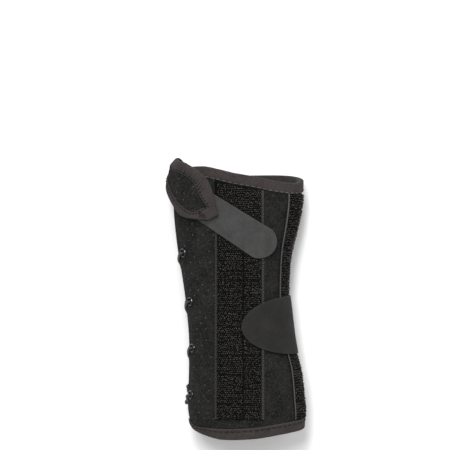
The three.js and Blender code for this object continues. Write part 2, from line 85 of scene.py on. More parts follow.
# Edges of the laced opening and of the two ends
OPENING = table(
    "y back palm",
    (-95, 170, -166), (40, 170, -166), (58, 169, -150), (74, 167.5, -126), (96, 166, -122), (124, 165, -125),
)
FINGER_EDGE = table(
    "angle y",
    (-126, 105.5), (-90, 108), (-45, 108), (0, 105), (20, 102.4), (40, 102.1), (60, 103.9), (75, 106.4),
    (90, 108.8), (105, 112.1), (120, 114.2), (165, 112),
)
ELBOW_EDGE = table(
    "angle y",
    (-166, -73.5), (-158, -77), (-142, -80), (-120, -81.5), (-60, -78), (0, -76.5), (20, -77.6), (40, -78.4),
    (60, -79.8), (90, -82.5), (120, -83), (137, -81.2), (152, -79.2), (163, -77), (170, -73.5),
)

# Eyelets of the two lace rows, and the lace through them
EYELETS = table("y back palm", (51.5, 151, -151), (15.8, 151.5, -151), (-18.4, 155, -151), (-52.5, 157, -151))
EYELET_HOLE = 2.6
EYELET_BORE, EYELET_BARREL, EYELET_FLANGE, EYELET_CLINCH = 2.0, 2.3, 3.4, 3.0
EYELET_PROUD = 1.0
LACE_RADIUS = 1.05
LACE_CLEAR = 0.2
LACE_STEP = 0.36
LACE_NEAR_SHARE, LACE_FAR_SHARE = 0.16, 0.8
LACE_END = {"back": (-3.6, 175.5, -5), "palm": (1.6, 188.5, 3)}
BRAID_PITCH, BRAID_STRANDS = 5.2, 3
EDGE_LIFT = 0.1
EDGE_BITE = 1.4
KNOT_RADIUS = 2.4


def lerp(start, end, share):
    return start + (end - start) * share


def ease(value, start=0, span=1):
    """Smooth step: 0 up to the start, 1 from a span past it."""
    share = np.clip((value - start) / span, 0, 1)
    return share * share * (3 - 2 * share)


def falloff(distance, width, power=2):
    """1 at no distance, and smoothly towards 0 past the width."""
    return np.exp(-(distance / width) ** power)


def signed_power(value, power):
    return np.sign(value) * np.abs(value) ** power


def cubic(t, span, start, end, start_slope, end_slope):
    """Curve from start to end over a span, with the given slopes there."""
    t2, t3 = t ** 2, t ** 3
    leaving = (2 * t3 - 3 * t2 + 1) * start + (t3 - 2 * t2 + t) * span * start_slope
    arriving = (3 * t2 - 2 * t3) * end + (t3 - t2) * span * end_slope
    return leaving + arriving


def along(rows, column, at):
    """Smooth curve through a table's column, by its first one, each slope taken from the row's neighbours."""
    keys, values = next(iter(rows.values())), rows[column]
    ends = np.arange(len(keys))
    before, after = np.maximum(ends - 1, 0), np.minimum(ends + 1, len(keys) - 1)
    slopes = (values[after] - values[before]) / (keys[after] - keys[before])
    row = np.clip(np.searchsorted(keys, at) - 1, 0, len(keys) - 2)
    span = keys[row + 1] - keys[row]
    t = np.clip((at - keys[row]) / span, 0, 1)
    return cubic(t, span, values[row], values[row + 1], slopes[row], slopes[row + 1])


def palm_lift(y):
    """Height of the wrap's palm face: over the strap in the middle, over the end pieces past it."""
    end_lift = np.where(y < 0, ELBOW_LIFT, FINGER_LIFT)
    return lerp(STRAP_LIFT, end_lift, ease(np.abs(y), STRAP_REACH, LIFT_RAMP))


def section_point(angle, y):
    """Point of the tube: a superellipse of the section at y, flattened where it rests."""
    angle, y = np.broadcast_arrays(np.asarray(angle, float), np.asarray(y, float))
    thumb_x, little_x, top_z = (along(SECTIONS, column, y) for column in ("thumb_x", "little_x", "top_z"))
    low_z = palm_lift(y) - PALM_SINK
    middle_z = (low_z + top_z) / 2
    cosine, sine = np.cos(np.radians(angle)), np.sin(np.radians(angle))
    power = 2 / np.where(sine >= 0, BACK_POWER, PALM_POWER)
    height = np.where(sine >= 0, top_z - middle_z, middle_z - low_z)
    x = (thumb_x + little_x) / 2 + (little_x - thumb_x) / 2 * signed_power(cosine, power)
    z = np.maximum(middle_z + height * signed_power(sine, power), palm_lift(y))
    return np.stack([x, y, z], -1)


def unit(vectors):
    return vectors / np.linalg.norm(vectors, axis=-1, keepdims=True)


def section_normal(angle, y):
    """Outward direction of the section in its own plane, from its tangent."""
    step = 0.5
    tangent = section_point(angle + step, y) - section_point(angle - step, y)
    return unit(np.stack([tangent[..., 2], np.zeros(tangent.shape[:-1]), -tangent[..., 0]], -1))


def lifted(angle, y, lift):
    """Point at a lift above the tube's outer face."""
    angle, y, lift = np.broadcast_arrays(*(np.asarray(part, float) for part in (angle, y, lift)))
    return section_point(angle, y) + section_normal(angle, y) * lift[..., None]


def back_angle(x, y):
    """Ring angle on the back side of a place across the brace, the superellipse solved for its angle."""
    thumb_x, little_x = along(SECTIONS, "thumb_x", y), along(SECTIONS, "little_x", y)
    share = np.clip((2 * x - thumb_x - little_x) / (little_x - thumb_x), -1, 1)
    return np.degrees(np.arccos(signed_power(share, BACK_POWER / 2)))


def wrap_place(around, length):
    """Ring angle and y: around runs from the opening's back edge to its palm edge, length along the tube."""
    def edges(y):
        return along(OPENING, "back", y), along(OPENING, "palm", y)

    elbow_y = along(ELBOW_EDGE, "y", lerp(*edges(ELBOW_EDGE["y"][0]), around))
    finger_y = along(FINGER_EDGE, "y", lerp(*edges(FINGER_EDGE["y"][0]), around))
    y = lerp(elbow_y, finger_y, length)
    return lerp(*edges(y), around), y


def ripple(across, length, height, wave, seed):
    """Smooth seeded unevenness: sine waves of about one wavelength in random directions."""
    count, shortest, longest = 14, 0.7, 1.5
    rng = np.random.default_rng(seed)
    turn, phase = rng.uniform(0, TURN, (2, count))
    rate = TURN / (wave * rng.uniform(shortest, longest, count))
    total = np.zeros(np.broadcast_shapes(np.shape(across), np.shape(length)))
    for direction, start, speed in zip(turn, phase, rate):
        total += np.sin((across * np.cos(direction) + length * np.sin(direction)) * speed + start)
    return height * (total / np.sqrt(count))


def edge_drop(distance, radius):
    """How far a rounded edge lies below its face: a quarter circle over the last radius."""
    inside = np.clip(1 - distance / radius, 0, 1)
    return radius * (1 - np.sqrt(1 - inside ** 2))


def crowd(count, share):
    """Steps from 0 to 1, crowded towards both ends."""
    even = np.linspace(0, 1, count + 1)
    return lerp(even, (1 - np.cos(np.pi * even)) / 2, share)


def arc_lengths(points, axis):
    """Length along one grid direction, from its first point."""
    steps = np.linalg.norm(np.diff(points, axis=axis), axis=-1)
    return np.concatenate([np.zeros_like(np.take(steps, [0], axis)), np.cumsum(steps, axis)], axis)


def flat_map(across, length):
    """Places on the cloth of a grid's points, in millimetres."""
    return np.stack(np.broadcast_arrays(across, length), -1).reshape(-1, 2)


def follow(values, distance, at):
    """Points along a line, by the distance along it."""
    return np.stack([np.interp(at, distance, values[:, k]) for k in range(3)], -1)


def nearest(points, centres):
    """Distance of each point of a grid from the nearest centre."""
    return np.linalg.norm(points[:, :, None] - centres, axis=-1).min(-1)


def shell(outer, inner, kept=None):
    """Closed cloth: grids of outer and inner points, and a rim where a kept cell borders on none."""
    index = np.arange(outer[..., 0].size).reshape(outer.shape[:2])
    a, b, c, d = index[:-1, :-1], index[1:, :-1], index[1:, 1:], index[:-1, 1:]
    if kept is None:
        kept = np.ones(a.shape, bool)
    around = np.pad(kept, 1)
    below = index.size
    faces = [np.stack([a, b, c, d], -1)[kept], np.stack([a, d, c, b], -1)[kept] + below]
    sides = (
        (a, b, around[1:-1, :-2]), (b, c, around[2:, 1:-1]),
        (c, d, around[1:-1, 2:]), (d, a, around[:-2, 1:-1]),
    )
    for start, end, neighbour in sides:
        rim = np.stack([end, start, start + below, end + below], -1)
        faces.append(rim[kept & ~neighbour])
    points = np.concatenate([outer.reshape(-1, 3), inner.reshape(-1, 3)])
    return points, np.concatenate(faces)


def tubes(rings):
    """Closed tubes from rings of points (tube, step, side): quads round each, and a flat face on each end."""
    count, steps, sides = rings.shape[:3]
    index = np.arange(count * steps * sides).reshape(count, steps, sides)
    turned = np.roll(index, -1, axis=2)
    walls = np.stack([index[:, :-1], turned[:, :-1], turned[:, 1:], index[:, 1:]], -1).reshape(-1, 4)
    return rings.reshape(-1, 3), [walls, index[:, 0, ::-1], index[:, -1]]


def wrapped(rings):
    """Points and faces of a grid that closes on itself in both directions."""
    index = np.arange(rings.shape[0] * rings.shape[1]).reshape(rings.shape[:2])
    across, onward = np.roll(index, -1, 1), np.roll(index, -1, 0)
    faces = np.stack([index, across, np.roll(across, -1, 0), onward], -1).reshape(-1, 4)
    return rings.reshape(-1, 3), faces


def signed_volume(points, faces):
    """Six times the volume inside a closed mesh, negative where its faces point inwards."""
    corner = [points[faces[:, k]] for k in range(faces.shape[1])]
    fans = (np.cross(corner[k], corner[k + 1]) for k in range(1, len(corner) - 1))
    return sum(np.einsum("ij,ij->", corner[0], fan) for fan in fans)


def place_piece(name, points, faces, material, maps=None, tints=None):
    """Mesh object in metres from arrays, without unused points, smooth, and turned to face outwards."""
    groups = faces if isinstance(faces, list) else [faces]
    if sum(signed_volume(points, group) for group in groups) < 0:
        groups = [group[:, ::-1] for group in groups]
    corners = np.concatenate([group.ravel() for group in groups])
    used, corners = np.unique(corners, return_inverse=True)
    sizes = np.concatenate([np.full(len(group), group.shape[1]) for group in groups])
    mesh = bpy.data.meshes.new(name)
    mesh.vertices.add(len(used))
    mesh.vertices.foreach_set("co", (points[used] * MM).astype(np.float32).ravel())
    mesh.loops.add(len(corners))
    mesh.loops.foreach_set("vertex_index", corners.astype(np.int32))
    mesh.polygons.add(len(sizes))
    mesh.polygons.foreach_set("loop_start", (np.cumsum(sizes) - sizes).astype(np.int32))
    mesh.polygons.foreach_set("use_smooth", np.ones(len(sizes), bool))
    if maps is not None:
        layer = mesh.uv_layers.new(name=CLOTH_MAP)
        layer.uv.foreach_set("vector", maps[used][corners].astype(np.float32).ravel())
    if tints is not None:
        mesh.attributes.new(TINT, "FLOAT", "POINT").data.foreach_set("value", tints[used].astype(np.float32))
    mesh.update(calc_edges=True)
    mesh.materials.append(material)
    piece = bpy.data.objects.new(name, mesh)
    bpy.context.scene.collection.objects.link(piece)
    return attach(piece, "root")


def place_cloth(name, outer, inner, cloth, across, length, tint=None, kept=None):
    """Closed piece of cloth from its outer and inner grids, with places on the cloth and a tint for both."""
    points, faces = shell(outer, inner, kept)
    maps = np.tile(flat_map(across, length), (2, 1))
    tints = None if tint is None else np.tile(np.broadcast_to(tint, outer.shape[:2]).ravel(), 2)
    return place_piece(name, points, faces, cloth, maps, tints)


# Sockets that share a name with others of their node, by number
MIX_DARK, MIX_LIGHT, MIX_RESULT = 6, 7, 2
ATTRIBUTE_VALUE = 2


def both_ways(operation):
    """A Wire's operator and its reflected form, as Math nodes."""
    def plain(self, other):
        return self.maths(operation, self, other)

    def reflected(self, other):
        return self.maths(operation, other, self)

    return plain, reflected


class Wire:
    """A shader value: arithmetic on it adds Math nodes, and node() adds any other node."""

    def __init__(self, tree, socket):
        self.tree = tree
        self.socket = socket

    def node(self, kind, settings=None, inputs=None, output=0):
        """Adds a node: its type, its settings, then the values or links of its sockets."""
        made = self.tree.nodes.new(kind)
        for name, value in (settings or {}).items():
            setattr(made, name, value)
        for name, value in (inputs or {}).items():
            if isinstance(value, Wire):
                self.tree.links.new(value.socket, made.inputs[name])
            else:
                made.inputs[name].default_value = value
        return Wire(self.tree, made.outputs[output])

    def maths(self, operation, *values):
        return self.node("ShaderNodeMath", {"operation": operation}, dict(enumerate(values)))

    def of(self, operation, *others):
        """A Math node's function of this value."""
        return self.maths(operation, self, *others)

    __add__, __radd__ = both_ways("ADD")
    __sub__, __rsub__ = both_ways("SUBTRACT")
    __mul__, __rmul__ = both_ways("MULTIPLY")
    __truediv__, __rtruediv__ = both_ways("DIVIDE")

    def fade(self, low=0.3, high=0.7):
        """0 below low, 1 above high, smooth between."""
        return self.node(
            "ShaderNodeMapRange", {"interpolation_type": "SMOOTHSTEP"},
            {"Value": self, "From Min": low, "From Max": high},
        )

    def colours(self, dark, light):
        """Colour between two others, by this value."""
        inputs = {"Factor": self, MIX_DARK: dark, MIX_LIGHT: light}
        return self.node("ShaderNodeMix", {"data_type": "RGBA"}, inputs, MIX_RESULT)


class Finish:
    """A material under construction: its shader, its coordinates, and the noise that finishes share."""

    def __init__(self, name, **constants):
        self.material = bpy.data.materials.new(name)
        self.material.use_nodes = True
        tree = self.material.node_tree
        self.shader = tree.nodes["Principled BSDF"]
        self.wire = Wire(tree, None)
        for socket, value in constants.items():
            self.shader.inputs[socket.replace("_", " ")].default_value = value

    def node(self, *arguments, **named):
        return self.wire.node(*arguments, **named)

    def place(self):
        """Object coordinates, in metres."""
        return self.node("ShaderNodeTexCoord", output="Object")

    def cloth_map(self):
        """Places on the cloth, in millimetres across and along it."""
        return self.node("ShaderNodeUVMap", {"uv_map": CLOTH_MAP})

    def parts(self, vector):
        """The x and y of a vector."""
        split = self.node("ShaderNodeSeparateXYZ", inputs={"Vector": vector})
        return split, Wire(split.tree, split.socket.node.outputs["Y"])

    def noise(self, scale, detail=3.0, roughness=0.6):
        inputs = {"Vector": self.place(), "Scale": scale, "Detail": detail, "Roughness": roughness}
        return self.node("ShaderNodeTexNoise", inputs=inputs)

    def grains(self, rows):
        """Noises of a table, each a smooth step by its weight: the first noise itself, and the sum of all."""
        noises = [self.noise(*row) for row in zip(rows["scale"], rows["detail"], rows["roughness"])]
        limits = zip(noises, rows["low"], rows["high"], rows["weight"])
        steps = [noise.fade(low, high) * weight for noise, low, high, weight in limits]
        return noises[0], sum(steps[1:], steps[0])

    def tint(self):
        return self.node("ShaderNodeAttribute", {"attribute_name": TINT}, output=ATTRIBUTE_VALUE)

    def done(self, colour=None, roughness=None, height=None, depth=0.0):
        """Links what varies: colour, roughness, and a height in units of depth metres as a bump."""
        tree = self.material.node_tree
        if colour is not None:
            tree.links.new(colour.socket, self.shader.inputs["Base Color"])
        if roughness is not None:
            tree.links.new(roughness.socket, self.shader.inputs["Roughness"])
        if height is not None:
            bump = self.node("ShaderNodeBump", inputs={"Height": height, "Distance": depth, "Strength": 1.0})
            tree.links.new(bump.socket, self.shader.inputs["Normal"])
        return self.material


def grey(level, warmth=0.0):
    """Near-grey colour: warmth adds red and takes blue."""
    return (level * (1 + warmth), level, level * (1 - warmth), 1.0)


# Finishes of the cloths: bump depths in metres, dark and light shades, and grains
NAP_DEPTH, WEAVE_DEPTH = 0.00012, 0.0001
WRAP_DARK, WRAP_LIGHT, WRAP_SPECK = grey(0.001, 0.03), grey(0.0256, 0.03), grey(0.09, 0.01)
TAPE_DARK, TAPE_LIGHT = (0.0207, 0.0172, 0.0172, 1.0), (0.0540, 0.0450, 0.0450, 1.0)
BACKING_DARK, BACKING_LIGHT = grey(0.002), grey(0.13, 0.02)
PILE_DARK, PILE_LIGHT = grey(0.002, 0.08), grey(0.115, 0.08)
TAB_DARK, TAB_LIGHT = grey(0.0226, 0.01), grey(0.072, 0.01)
STRAP_DARK, STRAP_LIGHT = grey(0.009, 0.03), grey(0.0325, 0.03)
CORD_DARK, CORD_LIGHT = grey(0.008), grey(0.06)
THREAD_WARMTH = 0.02
GRAIN = "scale detail roughness low high weight"
WRAP_GRAINS = table(
    GRAIN, (2600, 4, 0.7, 0.32, 0.68, 0.4), (90, 4, 0.6, 0.35, 0.65, 0.2), (850, 2, 0.6, 0.38, 0.62, 0.4),
)
TAPE_GRAINS = table(
    GRAIN, (1900, 4, 0.7, 0.28, 0.75, 0.4), (110, 3, 0.6, 0.3, 0.7, 0.25), (800, 2, 0.6, 0.3, 0.7, 0.35),
)
TAB_GRAINS = table(GRAIN, (2400, 4, 0.75, 0.25, 0.75, 0.45), (130, 3, 0.6, 0.3, 0.7, 0.25))
STRAP_GRAINS = table(GRAIN, (2600, 4, 0.7, 0.28, 0.72, 0.35), (70, 3, 0.6, 0.3, 0.7, 0.3))


def wrap_cloth():
    """Brushed black laminate: fine nap, soft blotches, and staggered pin pricks that show as pale specks.

    The specks are worn away in patches, and fainter towards the little-finger side.
    """
    cloth = Finish(
        "wrap_cloth", Roughness=0.95, Specular_IOR_Level=0.05, Sheen_Weight=0.02, Sheen_Roughness=0.6,
    )
    column_pitch, row_pitch, prick, rim = 4.1, 8.1, 0.25, 0.85
    faint_from, faint_to, faintness, speck_share = 0.010, 0.024, 0.6, 0.55
    worn_scale, worn_from, worn_to = 230, 0.37, 0.60
    nap_height, prick_depth = 0.6, 0.7
    across, length = cloth.parts(cloth.cloth_map())
    column = (across / column_pitch).of("FLOOR")
    shifted = length + column.of("MODULO", 2.0) * (row_pitch / 2)
    from_row = shifted.of("PINGPONG", row_pitch / 2)
    from_column = across - column * column_pitch - column_pitch / 2
    radius = (from_row * from_row + from_column * from_column).of("SQRT")
    speck = 1 - radius.fade(prick, rim)
    worn = cloth.noise(worn_scale, detail=2).fade(worn_from, worn_to)
    clear = 1 - cloth.parts(cloth.place())[0].fade(faint_from, faint_to) * faintness
    nap, level = cloth.grains(WRAP_GRAINS)
    shade = (speck * worn * clear * speck_share).colours(level.colours(WRAP_DARK, WRAP_LIGHT), WRAP_SPECK)
    return cloth.done(shade, height=nap * nap_height - speck * prick_depth, depth=NAP_DEPTH)


def edge_tape_cloth():
    """Charcoal binding tape: a fine rib across it, matte, with painted shade in its seam valleys and gather
    creases, paler along its inner edges.
    """
    cloth = Finish(
        "edge_tape", Roughness=0.92, Specular_IOR_Level=0.08, Sheen_Weight=0.03, Sheen_Roughness=0.5,
    )
    rib_pitch, rib_share, base, painted_shade_share = 0.55, 0.06, 0.04, 0.6
    nap_height, rib_height = 0.5, 0.25
    length = cloth.parts(cloth.cloth_map())[1]
    rib = (length * (TURN / rib_pitch)).of("SINE")
    nap, worn = cloth.grains(TAPE_GRAINS)
    # The tint carries painted shade in seam valleys and gather creases, and a paler band along the tape's
    # inner edges.
    level = worn + rib * rib_share + base - cloth.tint() * painted_shade_share
    height = nap * nap_height + rib * rib_height
    return cloth.done(level.colours(TAPE_DARK, TAPE_LIGHT), height=height, depth=NAP_DEPTH)


def backing_cloth():
    """Backing of the pile: near black between the loops, with charcoal selvage ribs woven across."""
    cloth = Finish("pile_backing", Roughness=0.95, Specular_IOR_Level=0.08)
    pick_pitch, base, nap_share, pick_share = 1.5, 0.6, 0.3, 0.22
    nap_height, pick_height = 0.5, 0.3
    length = cloth.parts(cloth.cloth_map())[1]
    pick = (length * (TURN / pick_pitch)).of("SINE")
    nap = cloth.noise(scale=2200)
    level = cloth.tint() * (base + nap.fade() * nap_share + pick * pick_share)
    height = nap * nap_height + pick * pick_height
    return cloth.done(level.colours(BACKING_DARK, BACKING_LIGHT), height=height, depth=WEAVE_DEPTH)


def pile_cloth():
    """Loop pile: black nylon threads, a few of them pale, with a soft shine."""
    cloth = Finish("pile_loops", Roughness=0.6, Specular_IOR_Level=0.12)
    base, nap_share = 0.7, 0.5
    level = cloth.tint() * (base + cloth.noise(scale=900, detail=2).fade() * nap_share)
    return cloth.done(level.colours(PILE_DARK, PILE_LIGHT))


def tab_cloth():
    """Tab: fine grey brushed knit, speckled, with a paler cut rim."""
    cloth = Finish(
        "tab_cloth", Roughness=0.95, Specular_IOR_Level=0.06, Sheen_Weight=0.04, Sheen_Roughness=0.5,
    )
    base, speck_share, rim_share = 0.12, 0.25, 0.15
    speck_scale, speck_from, speck_to = 1100, 0.58, 0.7
    fuzz_height, speck_height = 0.8, 0.3
    fuzz, level = cloth.grains(TAB_GRAINS)
    speck = cloth.noise(speck_scale, detail=2).fade(speck_from, speck_to)
    level = base + level + speck * speck_share + cloth.tint() * rim_share
    height = fuzz * fuzz_height + speck * speck_height
    return cloth.done(level.colours(TAB_DARK, TAB_LIGHT), height=height, depth=NAP_DEPTH)


def strap_cloth():
    """Strap: smooth dark grey brushed knit, fine nap, a paler line along its rim."""
    cloth = Finish(
        "strap_cloth", Roughness=0.9, Specular_IOR_Level=0.08, Sheen_Weight=0.02, Sheen_Roughness=0.5,
    )
    base, rim_share, fuzz_height = 0.15, 0.4, 0.6
    fuzz, level = cloth.grains(STRAP_GRAINS)
    level = base + level + cloth.tint() * rim_share
    return cloth.done(level.colours(STRAP_DARK, STRAP_LIGHT), height=fuzz * fuzz_height, depth=WEAVE_DEPTH)


def thread_cloth(name, dark, light):
    """Sewing thread, between two shades, matte."""
    thread = Finish(name, Roughness=0.8, Specular_IOR_Level=0.08)
    level = thread.noise(scale=1500, detail=2).fade()
    return thread.done(level.colours(grey(dark, THREAD_WARMTH), grey(light, THREAD_WARMTH)))


def cord_cloth():
    """Lace cord: black braid with a soft shine, its strands shaded by their relief."""
    cord = Finish("lace_cord", Roughness=0.5, Specular_IOR_Level=0.4)
    base, weave_share, fray_share = 0.35, 0.25, 0.35
    weave_height, fray_height = 0.6, 0.4
    around, length = cord.parts(cord.cloth_map())
    wind = length * (TURN / BRAID_PITCH)
    left, right = around * BRAID_STRANDS + wind, around * BRAID_STRANDS - wind
    weave = left.of("COSINE") * right.of("COSINE")
    fray = cord.noise(scale=1800)
    level = base + weave * weave_share + fray.fade() * fray_share
    height = weave * weave_height + fray * fray_height
    return cord.done(level.colours(CORD_DARK, CORD_LIGHT), height=height, depth=WEAVE_DEPTH)


def black_metal():
    """Eyelets: gloss black enamel, a little uneven."""
    metal = Finish("black_metal", Base_Color=(0.003, 0.003, 0.0034, 1.0), Specular_IOR_Level=0.6)
    gloss, unevenness = 0.05, 0.06
    return metal.done(roughness=gloss + metal.noise(scale=700).fade() * unevenness)


# Camera above the back side, sizes in millimetres
CAMERA_REACH = 1600.0
PHOTO_WIDTH = 330.75
PHOTO_CENTRE = (-11.0, 72.0)
CAMERA_PLANE = 40.0
SENSOR = 36.0

# Studio, in metres and watts
FAR_CLIP = 100
FLOOR_HALF = 3.0
FLOOR_SHADE = (0.95, 0.95, 0.95, 1.0)
WHITE = (1, 1, 1, 1)
SURROUND_STRENGTH = 0.61
LAMP_AIM = (0, 0.02, 0.03)
LAMPS = (
    ("key", (-0.22, 0.45, 1.5), 0.4, 12.5), ("fill", (0.9, 0.2, 1.0), 0.9, 2.4),
    ("rim", (-0.13, 1.0, 1.15), 0.4, 8),
)


def add_camera():
    """Camera straight above the back side, with the photograph's width at the height of the cloth's rim."""
    lens = bpy.data.cameras.new("camera")
    lens.sensor_width = SENSOR
    lens.lens = SENSOR * CAMERA_REACH / PHOTO_WIDTH
    lens.clip_end = FAR_CLIP
    camera = bpy.data.objects.new("camera", lens)
    camera.location = Vector((*PHOTO_CENTRE, CAMERA_PLANE + CAMERA_REACH)) * MM
    bpy.context.scene.collection.objects.link(camera)
    bpy.context.scene.camera = camera


def add_lamp(name, place, size, power):
    """Square soft lamp at a place, turned towards the brace."""
    lamp = bpy.data.lights.new(name, "AREA")
    lamp.size = size
    lamp.energy = power
    holder = bpy.data.objects.new(name, lamp)
    holder.location = place
    holder.rotation_euler = (Vector(LAMP_AIM) - Vector(place)).to_track_quat("-Z", "Y").to_euler()
    bpy.context.scene.collection.objects.link(holder)


def add_studio():
    """Pale floor at the rest plane, a white surround, and three soft lamps."""
    paint = Finish("floor_paint", Base_Color=FLOOR_SHADE, Roughness=0.9, Specular_IOR_Level=0.1)
    corners = [(x * FLOOR_HALF, y * FLOOR_HALF, 0) for x, y in ((-1, -1), (1, -1), (1, 1), (-1, 1))]
    mesh = bpy.data.meshes.new("floor")
    mesh.from_pydata(corners, [], [(0, 1, 2, 3)])
    mesh.materials.append(paint.done())
    floor = bpy.data.objects.new("floor", mesh)
    bpy.context.scene.collection.objects.link(floor)
    world = bpy.data.worlds.new("surround")
    world.use_nodes = True
    world.node_tree.nodes["Background"].inputs["Color"].default_value = WHITE
    world.node_tree.nodes["Background"].inputs["Strength"].default_value = SURROUND_STRENGTH
    bpy.context.scene.world = world
    bpy.context.scene.view_settings.view_transform = "Standard"
    for lamp in LAMPS:
        add_lamp(*lamp)


# Padded wrap
WRAP_GRID, WRAP_CROWDING = (210, 150), 0.55
WRAP_SWELL, EYELET_PINCH = 0.22, 0.1
EYELET_CUT = EYELET_HOLE - 0.35


def edge_bites():
    """Where the lace runs over the opening's edges, for each row."""
    y = EYELETS["y"]
    crossings = lerp(y[:-1], y[1:], LACE_NEAR_SHARE)
    bites = []
    for row in ("back", "palm"):
        place = np.append(crossings, y[-1] + LACE_END[row][0])
        bites.append(section_point(along(OPENING, row, place), place))
    return np.concatenate(bites)


def add_wrap(cloth):
    """Padded wrap: the tube's patch, swollen between its seams, round at the opening, holed for eyelets."""
    around, length = crowd(WRAP_GRID[0], WRAP_CROWDING)[:, None], np.linspace(0, 1, WRAP_GRID[1] + 1)[None, :]
    angle, y = wrap_place(around, length)
    face = section_point(angle, y)
    girth, run = arc_lengths(face, 0), arc_lengths(face, 1)
    from_opening = np.minimum(girth, girth[-1:] - girth)
    drop = edge_drop(from_opening, WRAP_WALL / 2)
    swell = ripple(girth, y, height=WRAP_SWELL, wave=26, seed=3)
    swell = swell + ripple(girth, y, height=0.08, wave=7, seed=4)
    calm = ease(from_opening, span=6) * ease(run, span=10) * ease(run[:, -1:] - run, span=10)
    centres = np.concatenate([section_point(EYELETS[row], EYELETS["y"]) for row in ("back", "palm")])
    pinch = EYELET_PINCH * falloff(nearest(face, centres), width=5)
    bite = EDGE_BITE * falloff(nearest(face, edge_bites()), width=2.2)
    resting = ease(face[..., 2], start=6, span=6)
    outer = lifted(angle, y, (swell * calm - WRAP_SWELL * calm) * resting - pinch - drop - bite)
    inner = lifted(angle, y, drop - WRAP_WALL - bite)
    kept = nearest((face[:-1, :-1] + face[1:, 1:]) / 2, centres) > EYELET_CUT
    piece = place_cloth("wrap_padding", outer, inner, cloth, girth, y, kept=kept)
    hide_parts("wrap")


def fold_profile(width, wall, offset):
    """U of a folded tape: inset from the edge and lift above the cloth, down one leg, round it and back."""
    legs, bend = 8, 10
    leg = np.linspace(width, 0, legs, endpoint=False)
    turn = np.linspace(0, np.pi, bend + 1)
    half = wall / 2 + offset
    inset = np.concatenate([leg, -offset * np.sin(turn), leg[::-1]])
    lift = [np.full(legs, offset), half * np.cos(turn) - wall / 2, np.full(legs, -wall - offset)]
    return inset, np.concatenate(lift)


# Tapes on the two ends of the wrap, and their stitches
TAPE_STEPS, TAPE_EASING = 340, 0.05
TAPE_TOP = TAPE_GAP + TAPE_THICK
FINGER_SEAM, ELBOW_SEAM = 6.5, 5.0
STITCH_PITCH, STITCH_RADIUS, STITCH_SINK, STITCH_PRESS = 4.4, 0.48, 0.1, 0.62
PUCKER, PUCKER_DEPTH, BELLY_LIMIT, PALE_EDGE_SHARE = 0.10, 0.16, 0.1, 0.8


def add_stitches(name, seams, pitch, radius, thread, zigzag=0.0, fill=0.74):
    """Sewn seams: short threads one after another, each arched over the cloth with its ends sunk into it.

    A seam is a line of points with the cloth's normals. Zigzag sets the stitches to alternate sides of it,
    and fill is a stitch's share of the pitch.
    """
    steps, sides, nearby = 6, 5, 0.2
    arch_height, sink, thin = 1.5, 1.1, 0.65
    t = np.linspace(0, 1, steps)
    corner = np.arange(sides) * TURN / sides
    arch = np.sin(np.pi * t)
    thick = radius * lerp(thin, 1, arch)
    rings = []
    for path, normals in seams:
        distance = arc_lengths(path, 0)
        start = np.arange(pitch / 2, distance[-1] - pitch, pitch)
        at = start[:, None] + t * pitch * fill
        normal = unit(follow(normals, distance, at))
        heading = unit(follow(path, distance, at + nearby) - follow(path, distance, at - nearby))
        side = np.cross(normal, heading)
        swing = zigzag * (2 * t - 1) * np.where(np.arange(len(start)) % 2, 1, -1)[:, None]
        rise = radius * (arch_height * arch - sink)
        middle = follow(path, distance, at) + side * swing[..., None] + normal * rise[:, None]
        spoke = side[:, :, None] * np.cos(corner)[:, None] + normal[:, :, None] * np.sin(corner)[:, None]
        rings.append(middle[:, :, None] + spoke * thick[:, None, None])
    points, faces = tubes(np.concatenate(rings))
    place_piece(name, points, faces, thread)


